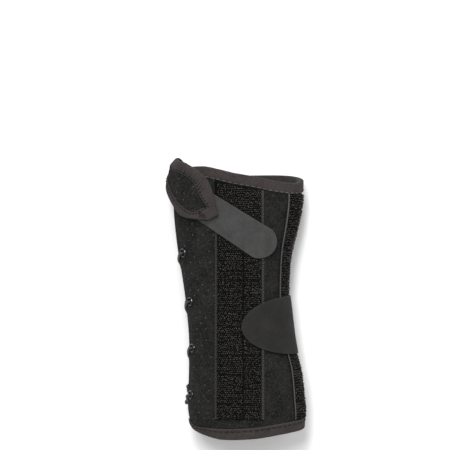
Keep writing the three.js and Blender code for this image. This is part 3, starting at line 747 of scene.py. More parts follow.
def add_end_tape(name, node, length, seam_inset, painted_seam_shade, narrowing, cloth, thread):
    """Tape folded round one end of the wrap: a U swept along the edge, its legs square to it, puckered.

    It narrows towards the thumb side by the given share.
    """
    inward = 1 if length == 0 else -1
    nearby = 0.004
    around = crowd(TAPE_STEPS, WRAP_CROWDING)
    angle, y = wrap_place(around, length)
    before, after = wrap_place(around - nearby, length), wrap_place(around + nearby, length)
    edge = section_point(angle, y)
    per_degree = np.linalg.norm(section_point(angle + 1, y) - edge, axis=-1)
    run, rise = (before[0] - after[0]) * per_degree, after[1] - before[1]
    size = np.hypot(run, rise)
    share = 1 - narrowing * ease(angle, start=118, span=40)
    turn, advance = share * inward * rise / size / per_degree, share * inward * run / size
    distance = arc_lengths(edge, 0)

    def surface(offset, pucker):
        inset, lift = fold_profile(WIDE_TAPE, WRAP_WALL, offset)
        outward = np.where(lift > -WRAP_WALL / 2, 1.0, -1.0)
        near_seam = falloff(inset - seam_inset, width=0.9)
        sway = ripple(distance, 0, height=0.12, wave=9, seed=8)
        wave = (PUCKER * np.cos(TURN * distance / STITCH_PITCH) + sway)[:, None]
        belly = ripple(distance, 3, height=0.16, wave=22, seed=9)[:, None] * np.clip(inset / WIDE_TAPE, 0, 1)
        relief = pucker * (wave * near_seam - PUCKER_DEPTH * near_seam + np.minimum(belly, BELLY_LIMIT))
        place = angle[:, None] + turn[:, None] * inset, y[:, None] + advance[:, None] * inset
        return lifted(*place, lift + outward * relief), inset

    outer, inset = surface(TAPE_TOP - TAPE_EASING, 1.0)
    inner = surface(TAPE_GAP, 0.0)[0]
    # Tint: painted shade along the seam's valley, less along the tape's inner edge, which is paler.
    painted_shade_and_pale_edge = painted_seam_shade * falloff(inset - seam_inset, width=0.8)
    painted_shade_and_pale_edge = painted_shade_and_pale_edge - PALE_EDGE_SHARE * falloff(inset - WIDE_TAPE, width=0.7)
    piece = place_cloth(name, outer, inner, cloth, inset[None, :], distance[:, None], painted_shade_and_pale_edge)
    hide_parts(node)
    seam_angle, seam_y = angle + turn * seam_inset, y + advance * seam_inset
    pressed = STITCH_PRESS * (1 - ease(edge[:, 2], start=1, span=4))
    seam = lifted(seam_angle, seam_y, TAPE_TOP - STITCH_SINK - pressed)
    line = seam, section_normal(seam_angle, seam_y)
    add_stitches(name + "_stitches", [line], STITCH_PITCH, STITCH_RADIUS, thread, fill=0.82)


# Loop panel on the back side, with a sewn groove along it below the tab
PANEL_LEFT, PANEL_RIGHT = -18.5, 17.6
PANEL_LOW, PANEL_HIGH = -69.4, 107
PANEL_TOP_INSET = 8
SELVAGE = 1.9
SELVAGE_RISE = 0.28
BACKING_ROUND = 0.3
GROOVE_X, GROOVE_TOP = 2.2, 54.0
PILE_MARGIN = 0.8
PILE_TUCK = 2
TACK_LENGTH = 2.6

# Loop strip along the little-finger side
STRIP = table("y inset", (-70.2, 7.7), (-50, 7.7), (-24, 6.6), (20, 6.4), (43, 7.1), (69, 9.2), (95.0, 11.1))
STRIP_PALM_ANGLE = -38
STRIP_WIDTH = 36.0
STRIP_RIB = 0.7
STRIP_SEAM = 1.5

# Tab that fastens the web flap
TAB_GRID = 110, 34
TAB_ROOT = (-27.4, 86.9)
TAB_SLOPE = np.radians(-33.3)
TAB_ROOT_HALF, TAB_END_HALF = 11.0, 12.6
TAB_LENGTH = 61.5
TAB_RAMP_LEAD = 9
TAB_TIP_HALF, TAB_RIM = 0.78, 0.5

# Forearm strap
STRAP_GRID = 200, 46
STRAP_TIP = (0.9, -3.4)
STRAP_TIP_CROWDING = 0.7
STRAP_MIDDLE_Y = -1.2
STRAP_HALF = 21.6
STRAP_TAPER = 40
STRAP_TIP_POWER, STRAP_TIP_SHARE = 0.5, 0.004
STRAP_ROOT_ANGLE = -128
STRAP_BACK_LIFT, STRAP_BACK_THICK = 1.35, 1.25
STRAP_BRIDGE, STRAP_BRIDGE_ANGLE = 1.5, 5
STRAP_RIM = 0.6


def panel_top(x):
    """The panel's finger end follows the tape above it."""
    return along(FINGER_EDGE, "y", back_angle(x, FINGER_EDGE["y"].min())) - PANEL_TOP_INSET


def panel_point(x, y, rise):
    """Point at a rise above the panel's backing."""
    return lifted(back_angle(x, y), y, GAP + BACKING + rise)


def strip_angle(across, y):
    """Ring angle on the loop strip, across in millimetres from its back edge."""
    limit = back_angle(along(SECTIONS, "little_x", y) - along(STRIP, "inset", y), y)
    return lerp(limit, STRIP_PALM_ANGLE, across / STRIP_WIDTH)


def strip_point(across, y, rise):
    """Point at a rise above the strip's backing."""
    return lifted(strip_angle(across, y), y, STRIP_GAP + BACKING + rise)


def tab_cover(x, y):
    """How far a place lies inside the tab's outline, negative outside: straight sides, half-round end."""
    dx, dy = x - TAB_ROOT[0], y - TAB_ROOT[1]
    run = dx * np.cos(TAB_SLOPE) + dy * np.sin(TAB_SLOPE)
    side = dy * np.cos(TAB_SLOPE) - dx * np.sin(TAB_SLOPE)
    half = lerp(TAB_ROOT_HALF, TAB_END_HALF, np.clip(run / TAB_LENGTH, 0, 1))
    past = np.maximum(run - (TAB_LENGTH - TAB_END_HALF), 0)
    return half - np.hypot(past, side)


def strap_half(x):
    """Half width and middle line of the strap at a given x: a round tip, open over its taper."""
    share = np.clip((x - STRAP_TIP[0]) / STRAP_TAPER, 0, 1)
    half = STRAP_HALF * np.maximum(1 - (1 - share) ** 2, STRAP_TIP_SHARE) ** STRAP_TIP_POWER
    return half, lerp(STRAP_TIP[1], STRAP_MIDDLE_Y, share)


def strap_cover(x, y):
    """How far a place on the back side lies inside the strap's outline, negative outside."""
    half, middle = strap_half(x)
    return np.where(x > STRAP_TIP[0], half - np.abs(y - middle), STRAP_TIP[0] - 1 - STRAP_HALF)


def tufts(across, length, pitch, rng):
    """Brick cells of a pile: each place's offset to its cell's jittered middle, and three random numbers."""
    low_x, spread_x, low_y, spread_y, numbers = 0.2, 0.6, 0.22, 0.56, 5
    row = np.floor(length / pitch[1]).astype(int)
    shift = (row % 2) / 2
    column = np.floor(across / pitch[0] + shift).astype(int)
    cells = rng.random((np.ptp(column) + 1, np.ptp(row) + 1, numbers))
    cell = cells[column - column.min(), row - row.min()]
    middle_x = (column - shift + low_x + spread_x * cell[:, 0]) * pitch[0]
    middle_y = (row + low_y + spread_y * cell[:, 1]) * pitch[1]
    return middle_x - across, middle_y - length, cell[:, 2:]


def loops(place, across, length, height, lean, curl, rng):
    """Pile loops: thin three-sided threads, each an omega arch over its root that leans with its tuft.

    An arch runs through most of a circle, its width and its height stretched apart, and place() sets each
    of its points on the backing: across, along and above it. Curl spreads the ways the arches face.
    """
    steps, sides, opening, sink = 5, 3, 0.25, 0.12
    narrowest, widest, thinnest, thickest = 0.22, 0.42, 0.10, 0.16
    count = len(across)
    swing = np.linspace(-opening, 1 + opening, steps) * np.pi
    heading = rng.normal(0, curl, count)[:, None]
    width = rng.uniform(narrowest, widest, count)[:, None]
    sideways = width * np.cos(swing)
    up = height[:, None] * (1 + np.sin(swing)) / 2
    slope = unit(np.stack([-width * np.sin(swing), height[:, None] * np.cos(swing) / 2], -1))
    corner = np.arange(sides) * TURN / sides
    thick = rng.uniform(thinnest, thickest, count)[:, None, None]
    inward, beside = thick * np.cos(corner), thick * np.sin(corner)
    run = sideways[..., None] - slope[..., 1:] * inward
    rise = up[..., None] + slope[..., :1] * inward
    x = across[:, None, None] + run * np.cos(heading)[..., None] - beside * np.sin(heading)[..., None]
    y = length[:, None, None] + run * np.sin(heading)[..., None] + beside * np.cos(heading)[..., None]
    return tubes(place(x + lean[0][:, None, None] * rise, y + lean[1][:, None, None] * rise, rise - sink))


def pile_roots(width, low, high, pitch, rng):
    """Jittered rows of places over a rectangle."""
    jitter = 0.45
    rows = np.arange(width[0], width[1], pitch), np.arange(low, high, pitch)
    across, length = np.meshgrid(*rows, indexing="ij")
    spread = rng.uniform(-jitter, jitter, (2, across.size)) * pitch
    return across.ravel() + spread[0], length.ravel() + spread[1]


def pile_shade(number, height, from_tuft, rng, base, spread, lit_height_share, gap_shade_share):
    """Tint of each loop: by its tuft's number, at random, with a painted highlight where it stands high and
    painted shade off its tuft.
    """
    random_share, middle_height = 0.2, 0.9
    random = random_share * rng.beta(2, 2, len(number))
    # Paler with height is a painted highlight; darker off the tuft is painted shade between tufts.
    return base + spread * number + random + lit_height_share * (height - middle_height) - gap_shade_share * from_tuft


def add_backing(name, node, across, length, point, finish, selvages):
    """Woven backing of a pile: a thin sheet whose selvage ribs stand a little higher, round at its edges."""
    side = np.minimum(across - across.min(0), across.max(0) - across)
    end = np.minimum(length - length.min(1)[:, None], length.max(1)[:, None] - length)
    ribs = [falloff(across - middle, half, power=4) for middle, half, _ in selvages]
    shade = sum(pale * rib for rib, (_, _, pale) in zip(ribs, selvages))
    drop = edge_drop(np.minimum(side, end), BACKING_ROUND)
    outer = point(across, length, SELVAGE_RISE * sum(ribs) - drop)
    inner = point(across, length, drop - BACKING)
    piece = place_cloth(name, outer, inner, finish, across, length, shade)
    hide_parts(node)
    return piece


def add_pile(parts, place, across, length, height, lean, curl, shade, rng, finish):
    """Pieces of pile, one for each named part of the roots, with a tint for each loop."""
    for name, part in parts.items():
        leaning = lean[0][part], lean[1][part]
        points, faces = loops(place, across[part], length[part], height[part], leaning, curl, rng)
        tints = np.repeat(shade[part], len(points) // np.count_nonzero(part))
        piece = place_piece(name, points, faces, finish, tints=tints)


def backing_grid(across, length):
    """Shares across and along a backing, crowded towards its edges."""
    return np.meshgrid(crowd(across, share=0.4), crowd(length, share=0.6), indexing="ij")


def add_loop_panel(backing, pile_finish):
    """Panel of loop pile on the back side: flattened under the tab and the strap, parted along its groove."""
    left_half, left_pale, right_half, right_pale = 0.75, 0.35, 1.0, 0.4
    share, length = backing_grid(across=56, length=84)
    across = lerp(PANEL_LEFT, PANEL_RIGHT, share)
    run = lerp(PANEL_LOW, panel_top(across), length)
    # The left selvage fades out towards the finger end: painted shadow of the flap lying over it.
    shown = 1 - ease(run, start=88, span=6)
    selvages = (
        (PANEL_LEFT + SELVAGE / 2, left_half, left_pale * shown),
        (PANEL_RIGHT - SELVAGE / 2, right_half, right_pale),
    )
    piece = add_backing("panel_backing", "loop_panel", across, run, panel_point, backing, selvages)

    pitch, tuft, gather, leaning = 0.6, 1.4, 0.66, 0.6
    lowest, taller, flat, press = 0.5, 0.75, 0.4, -1.2
    groove_depth, groove_painted_shade, part_depth, parting_painted_shade = 0.85, 0.4, 0.55, 0.17
    margin_dark, lightness, curl, closest, widest, part_count = 0.08, 0.04, 1.1, 3.2, 7.6, 50
    rng = np.random.default_rng(seed=11)
    sides = PANEL_LEFT + SELVAGE, PANEL_RIGHT - SELVAGE
    x, y = pile_roots(sides, PANEL_LOW + PILE_MARGIN, PANEL_HIGH, pitch, rng)
    cover = np.maximum(tab_cover(x, y), strap_cover(x, y))
    shown = (y < panel_top(x) - PILE_MARGIN) & (cover < PILE_TUCK)
    x, y, cover = x[shown], y[shown], cover[shown]
    to_x, to_y, cell = tufts(x, y, (tuft, tuft), rng)
    from_tuft = np.hypot(to_x, to_y)
    x, y = x + gather * to_x, y + gather * to_y
    from_groove = x - GROOVE_X - ripple(y, x, height=0.2, wave=9, seed=23)
    in_groove = falloff(from_groove, width=0.62, power=4) * (y < GROOVE_TOP)
    gaps = rng.uniform(closest, widest, (2, part_count))
    partings = PANEL_LOW + np.cumsum(gaps, axis=1)[(x > GROOVE_X).astype(int)]
    swayed = y[:, None] + ripple(x, y, height=0.35, wave=14, seed=22)[:, None]
    parted = falloff(np.abs(swayed - partings).min(1), width=0.45)
    height = (lowest + taller * cell[:, 0]) * (1 - groove_depth * in_groove) * (1 - part_depth * parted)
    height = np.where(cover > press, np.minimum(height, flat), height)
    lean = (cell[:, 0] - 0.5) * leaning, (cell[:, 2] - 0.5) * leaning
    margin = falloff(x - PANEL_LEFT - SELVAGE, width=3.5)
    shade = pile_shade(cell[:, 1], height, from_tuft, rng, base=0.3, spread=0.34, lit_height_share=0.34, gap_shade_share=0.3)
    # Loops in the groove and along the partings are darkened: painted shade in those recesses.
    shade = shade + lightness - groove_painted_shade * in_groove - parting_painted_shade * parted - margin_dark * margin
    upper = y >= np.median(y)
    parts = {"panel_pile_upper": upper, "panel_pile_lower": ~upper}
    add_pile(parts, panel_point, x, y, height, lean, curl, np.clip(shade, 0, 1), rng, pile_finish)


def add_loop_strip(backing, pile_finish):
    """Strip of loop pile along the little-finger side, in coarse stepped tufts, flattened under the strap."""
    rib_half, back_pale, palm_pale = 0.5, 0.85, 0.6
    low, high = STRIP["y"][[0, -1]]
    share, length = backing_grid(across=56, length=78)
    across, run = STRIP_WIDTH * share, lerp(low, high, length)
    selvages = (STRIP_RIB, rib_half, back_pale), (STRIP_WIDTH - STRIP_RIB, rib_half, palm_pale)
    piece = add_backing("strip_backing", "loop_strip", across, run, strip_point, backing, selvages)

    pitch, tuft, step, step_skew = 0.68, 1.9, (3.2, 4.4), 0.5
    gather, step_gather, lean_across, lean_along = 0.6, 0.1, 0.7, 0.9
    lowest, step_taller, taller, flat, press, dimming, curl = 0.4, 0.6, 0.4, 0.35, -1.0, 0.8, 3.0
    rng = np.random.default_rng(seed=12)
    sides = STRIP_SEAM, STRIP_WIDTH - STRIP_SEAM
    x, y = pile_roots(sides, low + PILE_MARGIN, high - PILE_MARGIN, pitch, rng)
    cover = STRAP_HALF - np.abs(y - STRAP_MIDDLE_Y)
    shown = cover < PILE_TUCK
    x, y, cover = x[shown], y[shown], cover[shown]
    to_x, to_y, cell = tufts(x + step_skew * y, y, step, rng)
    fine_x, fine_y, fine = tufts(x, y, (tuft, tuft), rng)
    from_tuft = np.hypot(fine_x, fine_y)
    height = lowest + step_taller * cell[:, 0] + taller * fine[:, 0]
    height = np.where(cover > press, np.minimum(height, flat), height)
    x, y = x + step_gather * to_x + gather * fine_x, y + step_gather * to_y + gather * fine_y
    lean = (cell[:, 1] - 0.5) * lean_across, (cell[:, 2] - 0.5) * lean_along
    shade = pile_shade(fine[:, 1], height, from_tuft, rng, base=0.34, spread=0.4, lit_height_share=0.4, gap_shade_share=0.25)
    finger = y > STRAP_MIDDLE_Y
    parts = {"strip_pile_finger": finger, "strip_pile_elbow": ~finger}
    add_pile(parts, strip_point, x, y, height, lean, curl, np.clip(dimming * shade, 0, 1), rng, pile_finish)


def add_tab(cloth):
    """Tab: a felt strip with a half-round end, over the panel's edge in a ramp, its rims rounded."""
    length, across = np.linspace(0, 1, TAB_GRID[0] + 1)[:, None], crowd(TAB_GRID[1], share=0.5)[None, :]
    run = TAB_LENGTH * np.sin(length * np.pi / 2)
    past = np.maximum(run - (TAB_LENGTH - TAB_END_HALF), 0)
    round_half = np.maximum(np.sqrt(np.maximum(TAB_END_HALF ** 2 - past ** 2, 0)), TAB_TIP_HALF)
    half = np.minimum(lerp(TAB_ROOT_HALF, TAB_END_HALF, run / TAB_LENGTH), round_half)
    side = half * (2 * across - 1)
    x = TAB_ROOT[0] + run * np.cos(TAB_SLOPE) - side * np.sin(TAB_SLOPE)
    y = TAB_ROOT[1] + run * np.sin(TAB_SLOPE) + side * np.cos(TAB_SLOPE)
    rim = np.maximum(tab_cover(x, y), 0)
    ramp = ease(x - PANEL_LEFT + TAB_RAMP_LEAD, span=7) * (PANEL_THICK + GAP)
    lift = GAP + ramp + ripple(run, side, height=0.10, wave=17, seed=31) * ease(rim, span=3)
    outer = lifted(back_angle(x, y), y, lift + TAB_THICK - edge_drop(rim, radius=0.6))
    inner = lifted(back_angle(x, y), y, lift + edge_drop(rim, radius=0.4))
    piece = place_cloth("tab_felt", outer, inner, cloth, run, side, np.exp(-rim / TAB_RIM))
    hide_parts("thumb_tab")


def add_strap(cloth):
    """Strap: a wide band round the little-finger side and the palm side, from a round tip, its rims rounded.

    Drawn tight, it bridges the waist of the little-finger side.
    """
    even, across = np.linspace(0, 1, STRAP_GRID[0] + 1)[:, None], crowd(STRAP_GRID[1], share=0.5)[None, :]
    angle = lerp(back_angle(*STRAP_TIP), STRAP_ROOT_ANGLE, lerp(even, even ** 2, STRAP_TIP_CROWDING))
    ring = section_point(angle, STRAP_MIDDLE_Y)
    half, middle = strap_half(np.where(angle > 0, ring[..., 0], STRAP_TIP[0] + STRAP_TAPER))
    y = middle + half * (2 * across - 1)
    girth = arc_lengths(ring, 0)
    rim = np.minimum(half - np.abs(y - middle), np.minimum(girth, girth[-1] - girth))
    climb = ease(angle, start=-75, span=45)
    lift, thick = lerp(GAP, STRAP_BACK_LIFT, climb), lerp(STRAP_THICK, STRAP_BACK_THICK, climb)
    resting = ease(angle, start=-60, span=20)
    drawn = falloff(angle - STRAP_BRIDGE_ANGLE, width=45, power=4)
    bridge = STRAP_BRIDGE * (1 - ((y - middle) / half) ** 2) * drawn
    waves = ripple(girth, y, height=0.12, wave=24, seed=41) * resting * ease(rim, span=4)
    lift = lift + bridge + waves
    outer = lifted(angle, y, lift + thick - edge_drop(rim, radius=0.6))
    inner = lifted(angle, y, lift + edge_drop(rim, radius=0.5))
    piece = place_cloth("strap_band", outer, inner, cloth, girth, y, np.exp(-rim / STRAP_RIM))
    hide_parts("forearm_strap")


# Web flap from the palm side round the laced side to its tip on the back side
FLAP = table(
    "station far_angle far_y near_angle near_y far_lift mid_lift near_lift",
    (0, 250, 97.5, 250, 76, 0.3, 0.3, 0.3), (1, 238, 98.5, 238, 79, 0.3, 0.3, 0.3),
    (2, 212, 110.5, 212, 98, 0, 0, 0), (3, 182, 116.4, 177, 114, -8.2, -7.4, -6.4),
    (4, 167, 120.8, 172, 108, -5, -1.6, -1.1), (5, 152, 118.8, 167, 99.5, -0.4, 3.4, 2.7),
    (6, 134, 115.8, 154.5, 88, 3.4, 3.6, 2.3), (7, 114, 104.5, 140, 79.2, 3.9, 3.7, 2.8),
    (8, 104, 79.8, 112, 76.2, 4.6, 4.6, 4.4),
)
FLAP_GRID = 150, 44
FLAP_TIP = 8.0
FLAP_PLUMP = 0.5

# Its tape, with places along the flap by its stations
FLAP_SIDE_STEPS, FLAP_TIP_STEPS = 150, 40
FLAP_TAPE_START = 1.6
FLAP_SPINE_END = 6.88
FLAP_TAPE_FILL, FLAP_TIP_FILL = 0.6, 0.85
BODY_END_NEAR, BODY_END_FAR = 7.42, 7.64
NEAR_NARROWING, TIP_WIDENING = 1.3, 4.6
WINDOW_ROUND = 3.0
GATHER_END, GATHER_RIM, GATHER_PITCH, GATHER_POWER, GATHER_DEPTH = 7.5, 1.1, 2.6, 4, 0.5
SEAM_INSET, SEAM_DEPTH, SEAM_LIFT = 1.25, 0.2, 0.05
ROLL_LIMIT, FLAP_PALE_EDGE_SHARE = 0.1, 0.45
TACK_SHIFTS = (-0.1, -0.03, 0.04, 0.11)
TACK_STATIONS, TACK_SHARES, TACK_STEPS = (7.86, 7.6), (0.03, 0.38), 30


def flap_point(station, across, rise):
    """Point of the web flap: between its near and far edges, arched across."""
    near, far = (along(FLAP, side + "_angle", station) for side in ("near", "far"))
    near_y, far_y = (along(FLAP, side + "_y", station) for side in ("near", "far"))
    near_lift, mid_lift, far_lift = (
        along(FLAP, side + "_lift", station) for side in ("near", "mid", "far")
    )
    skew = 2 * across - 1
    lift = mid_lift * (1 - skew ** 2) + np.where(skew > 0, far_lift, near_lift) * skew ** 2
    return lifted(lerp(near, far, across), lerp(near_y, far_y, across), lift + rise)


def add_flap(cloth):
    """Web flap: a padded tongue between its tapes, a little plump along its middle."""
    station = np.linspace(0, FLAP_TIP, FLAP_GRID[0] + 1)[:, None]
    across = crowd(FLAP_GRID[1], share=0.4)[None, :]
    face = flap_point(station, across, 0)
    width, run = arc_lengths(face, 1), arc_lengths(face, 0)
    rim = np.minimum(np.minimum(width, width[:, -1:] - width), run[-1:] - run)
    resting = ease(face[..., 2], start=2, span=4)
    waves = ripple(width, run, height=0.14, wave=15, seed=51) * ease(rim, span=5)
    plump = (FLAP_PLUMP * ease(rim, span=9) + waves) * resting
    drop = edge_drop(rim, FLAP_THICK / 2)
    outer = flap_point(station, across, FLAP_THICK - drop + plump)
    inner = flap_point(station, across, drop)
    piece = place_cloth("flap_padding", outer, inner, cloth, width, run)
    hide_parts("web_flap")


def add_flap_tape(cloth, thread):
    """Tape folded round the flap: a U swept up one edge, round the tip and down the other, with gathers.

    Each leg runs from the edge towards the flap's spine.
    """
    sides, tip = np.linspace(0, 1, FLAP_SIDE_STEPS), np.linspace(0, 1, FLAP_TIP_STEPS)[1:-1]
    climb = lerp(FLAP_TAPE_START, FLAP_TIP, np.sin(sides * np.pi / 2))
    station = np.concatenate([climb, np.full(tip.size, FLAP_TIP), climb[::-1]])
    across = np.concatenate([np.zeros(sides.size), tip, np.ones(sides.size)])
    edge = flap_point(station, across, FLAP_THICK / 2)
    inward = flap_point(np.minimum(station, FLAP_SPINE_END), 0.5, FLAP_THICK / 2) - edge
    reach = np.linalg.norm(inward, axis=-1)
    distance = arc_lengths(edge, 0)
    along_sides = station <= lerp(BODY_END_NEAR, BODY_END_FAR, across)
    narrower = NEAR_NARROWING * ease(station, start=5)
    wider = TIP_WIDENING * ease(station, start=6.3, span=1.4)
    fill = lerp(FLAP_TAPE_FILL, FLAP_TIP_FILL, ease(station, start=6.2))
    inner_share = np.minimum((WIDE_TAPE + lerp(-narrower, wider, across)) / reach, fill)
    inner_station, inner_across = (
        np.interp(distance, distance[along_sides], inner[along_sides])
        for inner in (station, lerp(across, 0.5, inner_share))
    )
    weights = falloff(distance[:, None] - distance, WINDOW_ROUND) * np.gradient(distance)
    weights = weights / weights.sum(1, keepdims=True)
    inner_station, inner_across = weights @ inner_station, weights @ inner_across
    inner_edge = flap_point(inner_station, inner_across, FLAP_THICK / 2)
    width = np.linalg.norm(inner_edge - edge, axis=-1)[:, None]
    seam_share = 1 - SEAM_INSET / width
    gathers = ease(station, start=5.4, span=0.5) * ease(GATHER_END - station, span=0.4) * across
    phase = TURN * distance / GATHER_PITCH + ripple(distance, 0, height=1.5, wave=7, seed=61)
    creases = (gathers * ((1 + np.cos(phase)) / 2) ** GATHER_POWER)[:, None]

    def leg(share, lift):
        inside = np.maximum(share, 0)
        stations = lerp(station[:, None], inner_station[:, None], inside)
        place = flap_point(stations, lerp(across[:, None], inner_across[:, None], inside), FLAP_THICK + lift)
        return place + unit(inward)[:, None] * (np.minimum(share, 0) * width)[..., None]

    def gathered(share):
        return creases * ease(share, start=0.2, span=0.4) * ease(GATHER_RIM - share, span=0.3)

    def surface(offset, relief):
        profile, lift = fold_profile(1.0, FLAP_THICK, offset)
        inset = np.where(profile > 0, profile * width, profile)
        share = inset / width
        outward = np.where(lift > -FLAP_THICK / 2, 1.0, -1.0)
        roll = ripple(distance, 2, height=0.15, wave=14, seed=62)[:, None] * np.clip(share, 0, 1)
        shape = np.minimum(roll, ROLL_LIMIT) - GATHER_DEPTH * gathered(share)
        shape = shape - SEAM_DEPTH * falloff(share - seam_share, width=0.16)
        return leg(share, lift + relief * outward * shape), inset

    outer, inset = surface(TAPE_TOP, 1.0)
    inner = surface(TAPE_GAP, 0.0)[0]
    # Tint: painted shade in the gather creases, less along the tape's inner edge, which is paler.
    painted_shade_and_pale_edge = gathered(inset / width) - FLAP_PALE_EDGE_SHARE * falloff(width - inset, width=0.45)
    piece = place_cloth("flap_edge_tape", outer, inner, cloth, inset, distance[:, None], painted_shade_and_pale_edge)
    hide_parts("flap_tape")
    seam = leg(seam_share, np.full_like(seam_share, TAPE_TOP + SEAM_LIFT))[:, 0]
    normal = unit(leg(seam_share, np.full_like(seam_share, TAPE_TOP + 1))[:, 0] - seam)
    line = [(seam, normal)]
    add_stitches("flap_seam", line, pitch=2.5, radius=STITCH_RADIUS, thread=thread, zigzag=0.1, fill=0.55)
    tacks = []
    for shift in TACK_SHIFTS:
        place = np.linspace(*TACK_STATIONS, TACK_STEPS) + shift, np.linspace(*TACK_SHARES, TACK_STEPS)
        tack = flap_point(*place, FLAP_THICK + TAPE_TOP)
        tacks.append((tack, unit(flap_point(*place, FLAP_THICK + TAPE_TOP + 1) - tack)))
    add_stitches("flap_tack", tacks, pitch=1.3, radius=0.36, thread=thread, zigzag=0.5, fill=0.9)


def eyelet_profile():
    """Radius and height round an eyelet's section: bevelled flange, barrel, and clinched inner end."""
    rim_slope, rim_fall, rim_flat, rim_sink = 0.1, 0.25, 0.4, 0.03
    bevel_steps, bevel_step, bevel_start, bevel_end, clinch_steps = 6, 0.19, 41, 57, 11
    flat_inset, bevel_inset, barrel_gap, clinch_drop, clinch_depth = 0.85, 0.79, 0.05, 0.1, 0.4
    top, low = GAP + EYELET_PROUD, -WRAP_WALL - clinch_drop
    inner_rim = [
        (EYELET_BORE, GAP), (EYELET_BORE + rim_slope, top - rim_fall),
        (EYELET_BORE + rim_flat, top - rim_sink), (EYELET_FLANGE - flat_inset, top),
    ]
    fall = np.radians(np.linspace(bevel_start, bevel_end, bevel_steps))
    bevel = np.cumsum(bevel_step * np.stack([np.cos(fall), -np.sin(fall)], -1), axis=0)
    bevel = bevel + (EYELET_FLANGE - bevel_inset, top)
    barrel = [(EYELET_FLANGE, GAP), (EYELET_BARREL, GAP - barrel_gap), (EYELET_BARREL, low + barrel_gap)]
    roll = np.linspace(0, np.pi, clinch_steps)
    middle, half = (EYELET_BORE + EYELET_CLINCH) / 2, (EYELET_CLINCH - EYELET_BORE) / 2
    clinch = np.stack([middle + half * np.cos(roll), low - clinch_depth * np.sin(roll)], -1)
    return np.concatenate([inner_rim, bevel, barrel, clinch])


def add_eyelets(metal):
    """Eyelets: a ring's profile turned about the cloth's normal."""
    sides = 40
    profile = eyelet_profile()
    turn = np.linspace(0, TURN, sides, endpoint=False)[:, None]
    for row in ("back", "palm"):
        for number, (angle, y) in enumerate(zip(EYELETS[row], EYELETS["y"]), 1):
            lengthwise = section_point(angle, y + 1) - section_point(angle, y - 1)
            around = section_point(angle + 1, y) - section_point(angle - 1, y)
            axis = unit(np.cross(lengthwise, around))
            axis = axis * np.sign(axis @ section_normal(angle, y))
            side = unit(np.cross(axis, lengthwise))
            ahead = np.cross(axis, side)
            spoke = side * np.cos(turn) + ahead * np.sin(turn)
            rings = section_point(angle, y) + spoke[:, None] * profile[:, :1] + axis * profile[:, 1:]
            name = f"{row}_eyelet_{number}"
            piece = place_piece(name + "_ring", *wrapped(rings), metal)
            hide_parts(name)


def lace_points():
    """Places the lace passes: under each edge, up through an eyelet, over to the other row, and down."""
    inlet_turn, inlet_run, bore_run, outlet_turn, outlet_run = 2.5, 1.5, 0.1, 0.6, 0.5
    dip_turn, dip_run, dip, middle_angle, end_lift = 6.5, 3, -1.3, 181, -0.4
    bar_angles, bar_run, bar_drop = (168, 192), 4, 0.4
    over = LACE_RADIUS + LACE_CLEAR
    under = -WRAP_WALL - over
    above = EYELET_PROUD + GAP + over
    eyelet_y = EYELETS["y"]
    halves = []
    for starts_at_back, crossing in ((True, -2.2), (False, -4.8)):
        places = []
        for number, y in enumerate(eyelet_y):
            on_back = (number % 2 == 0) == starts_at_back
            row, other = ("back", "palm") if on_back else ("palm", "back")
            turn = 1 if on_back else -1
            angle = EYELETS[row][number]
            places += [
                (angle + inlet_turn * turn, y + inlet_run, under), (angle, y + bore_run, -WRAP_WALL - GAP),
                (angle, y, -GAP), (angle + outlet_turn * turn, y - outlet_run, above),
            ]
            if number == len(eyelet_y) - 1:
                edge_run, end_angle, end_run = LACE_END[row]
                near_edge = along(OPENING, row, y + edge_run) + turn
                places += [(near_edge, y + edge_run, EDGE_LIFT), (end_angle, y + end_run, end_lift)]
                break
            next_y = eyelet_y[number + 1]
            near_y, far_y = lerp(y, next_y, LACE_NEAR_SHARE), lerp(y, next_y, LACE_FAR_SHARE)
            near_edge = along(OPENING, row, near_y)
            far_edge = along(OPENING, other, far_y) - turn
            places += [
                (near_edge + turn, near_y, EDGE_LIFT), (near_edge + dip_turn * turn, near_y - dip_run, dip),
                (middle_angle, (y + next_y) / 2, crossing), (far_edge, far_y, under),
            ]
        halves.append(places)
    bar = [(angle, eyelet_y[0] + bar_run, under - bar_drop) for angle in bar_angles]
    return lifted(*np.array(halves[0][::-1] + bar + halves[1], float).T)


def smooth_path(points, step):
    """Centripetal Catmull-Rom curve through points, resampled at even steps."""
    samples = 60
    padded = np.concatenate([2 * points[:1] - points[1:2], points, 2 * points[-1:] - points[-2:-1]])
    knots = np.sqrt(np.linalg.norm(np.diff(padded, axis=0), axis=-1))
    chord = np.diff(padded, axis=0) / knots[:, None]
    wide = (padded[2:] - padded[:-2]) / (knots[1:] + knots[:-1])[:, None]
    slope = chord[:-1] - wide + chord[1:]
    t = np.linspace(0, 1, samples, endpoint=False)[:, None, None]
    dense = cubic(t, knots[1:-1, None], points[:-1], points[1:], slope[:-1], slope[1:])
    dense = np.concatenate([dense.transpose(1, 0, 2).reshape(-1, 3), points[-1:]])
    distance = arc_lengths(dense, 0)
    return follow(dense, distance, np.linspace(0, distance[-1], int(distance[-1] / step) + 1))


def sweep(path, tangent, reference, radius, turn):
    """Rings round a path: circles in the plane square to it, turned by a reference direction."""
    first = unit(np.cross(tangent, reference))
    second = np.cross(tangent, first)
    spoke = first[:, None] * np.cos(turn)[:, None] + second[:, None] * np.sin(turn)[:, None]
    return path[:, None] + spoke * radius[..., None]


def braid(distance, turn):
    """Relief of a braid: two families of strands that wind opposite ways, over and under each other."""
    cross, weave = 0.5, 0.25
    wind = TURN * distance / BRAID_PITCH
    left, right = BRAID_STRANDS * turn + wind, BRAID_STRANDS * turn - wind
    over = np.sign(np.sin(BRAID_STRANDS * wind))
    return cross * np.cos(left) * np.cos(right) + weave * over * (np.cos(2 * left) - np.cos(2 * right)) / 2


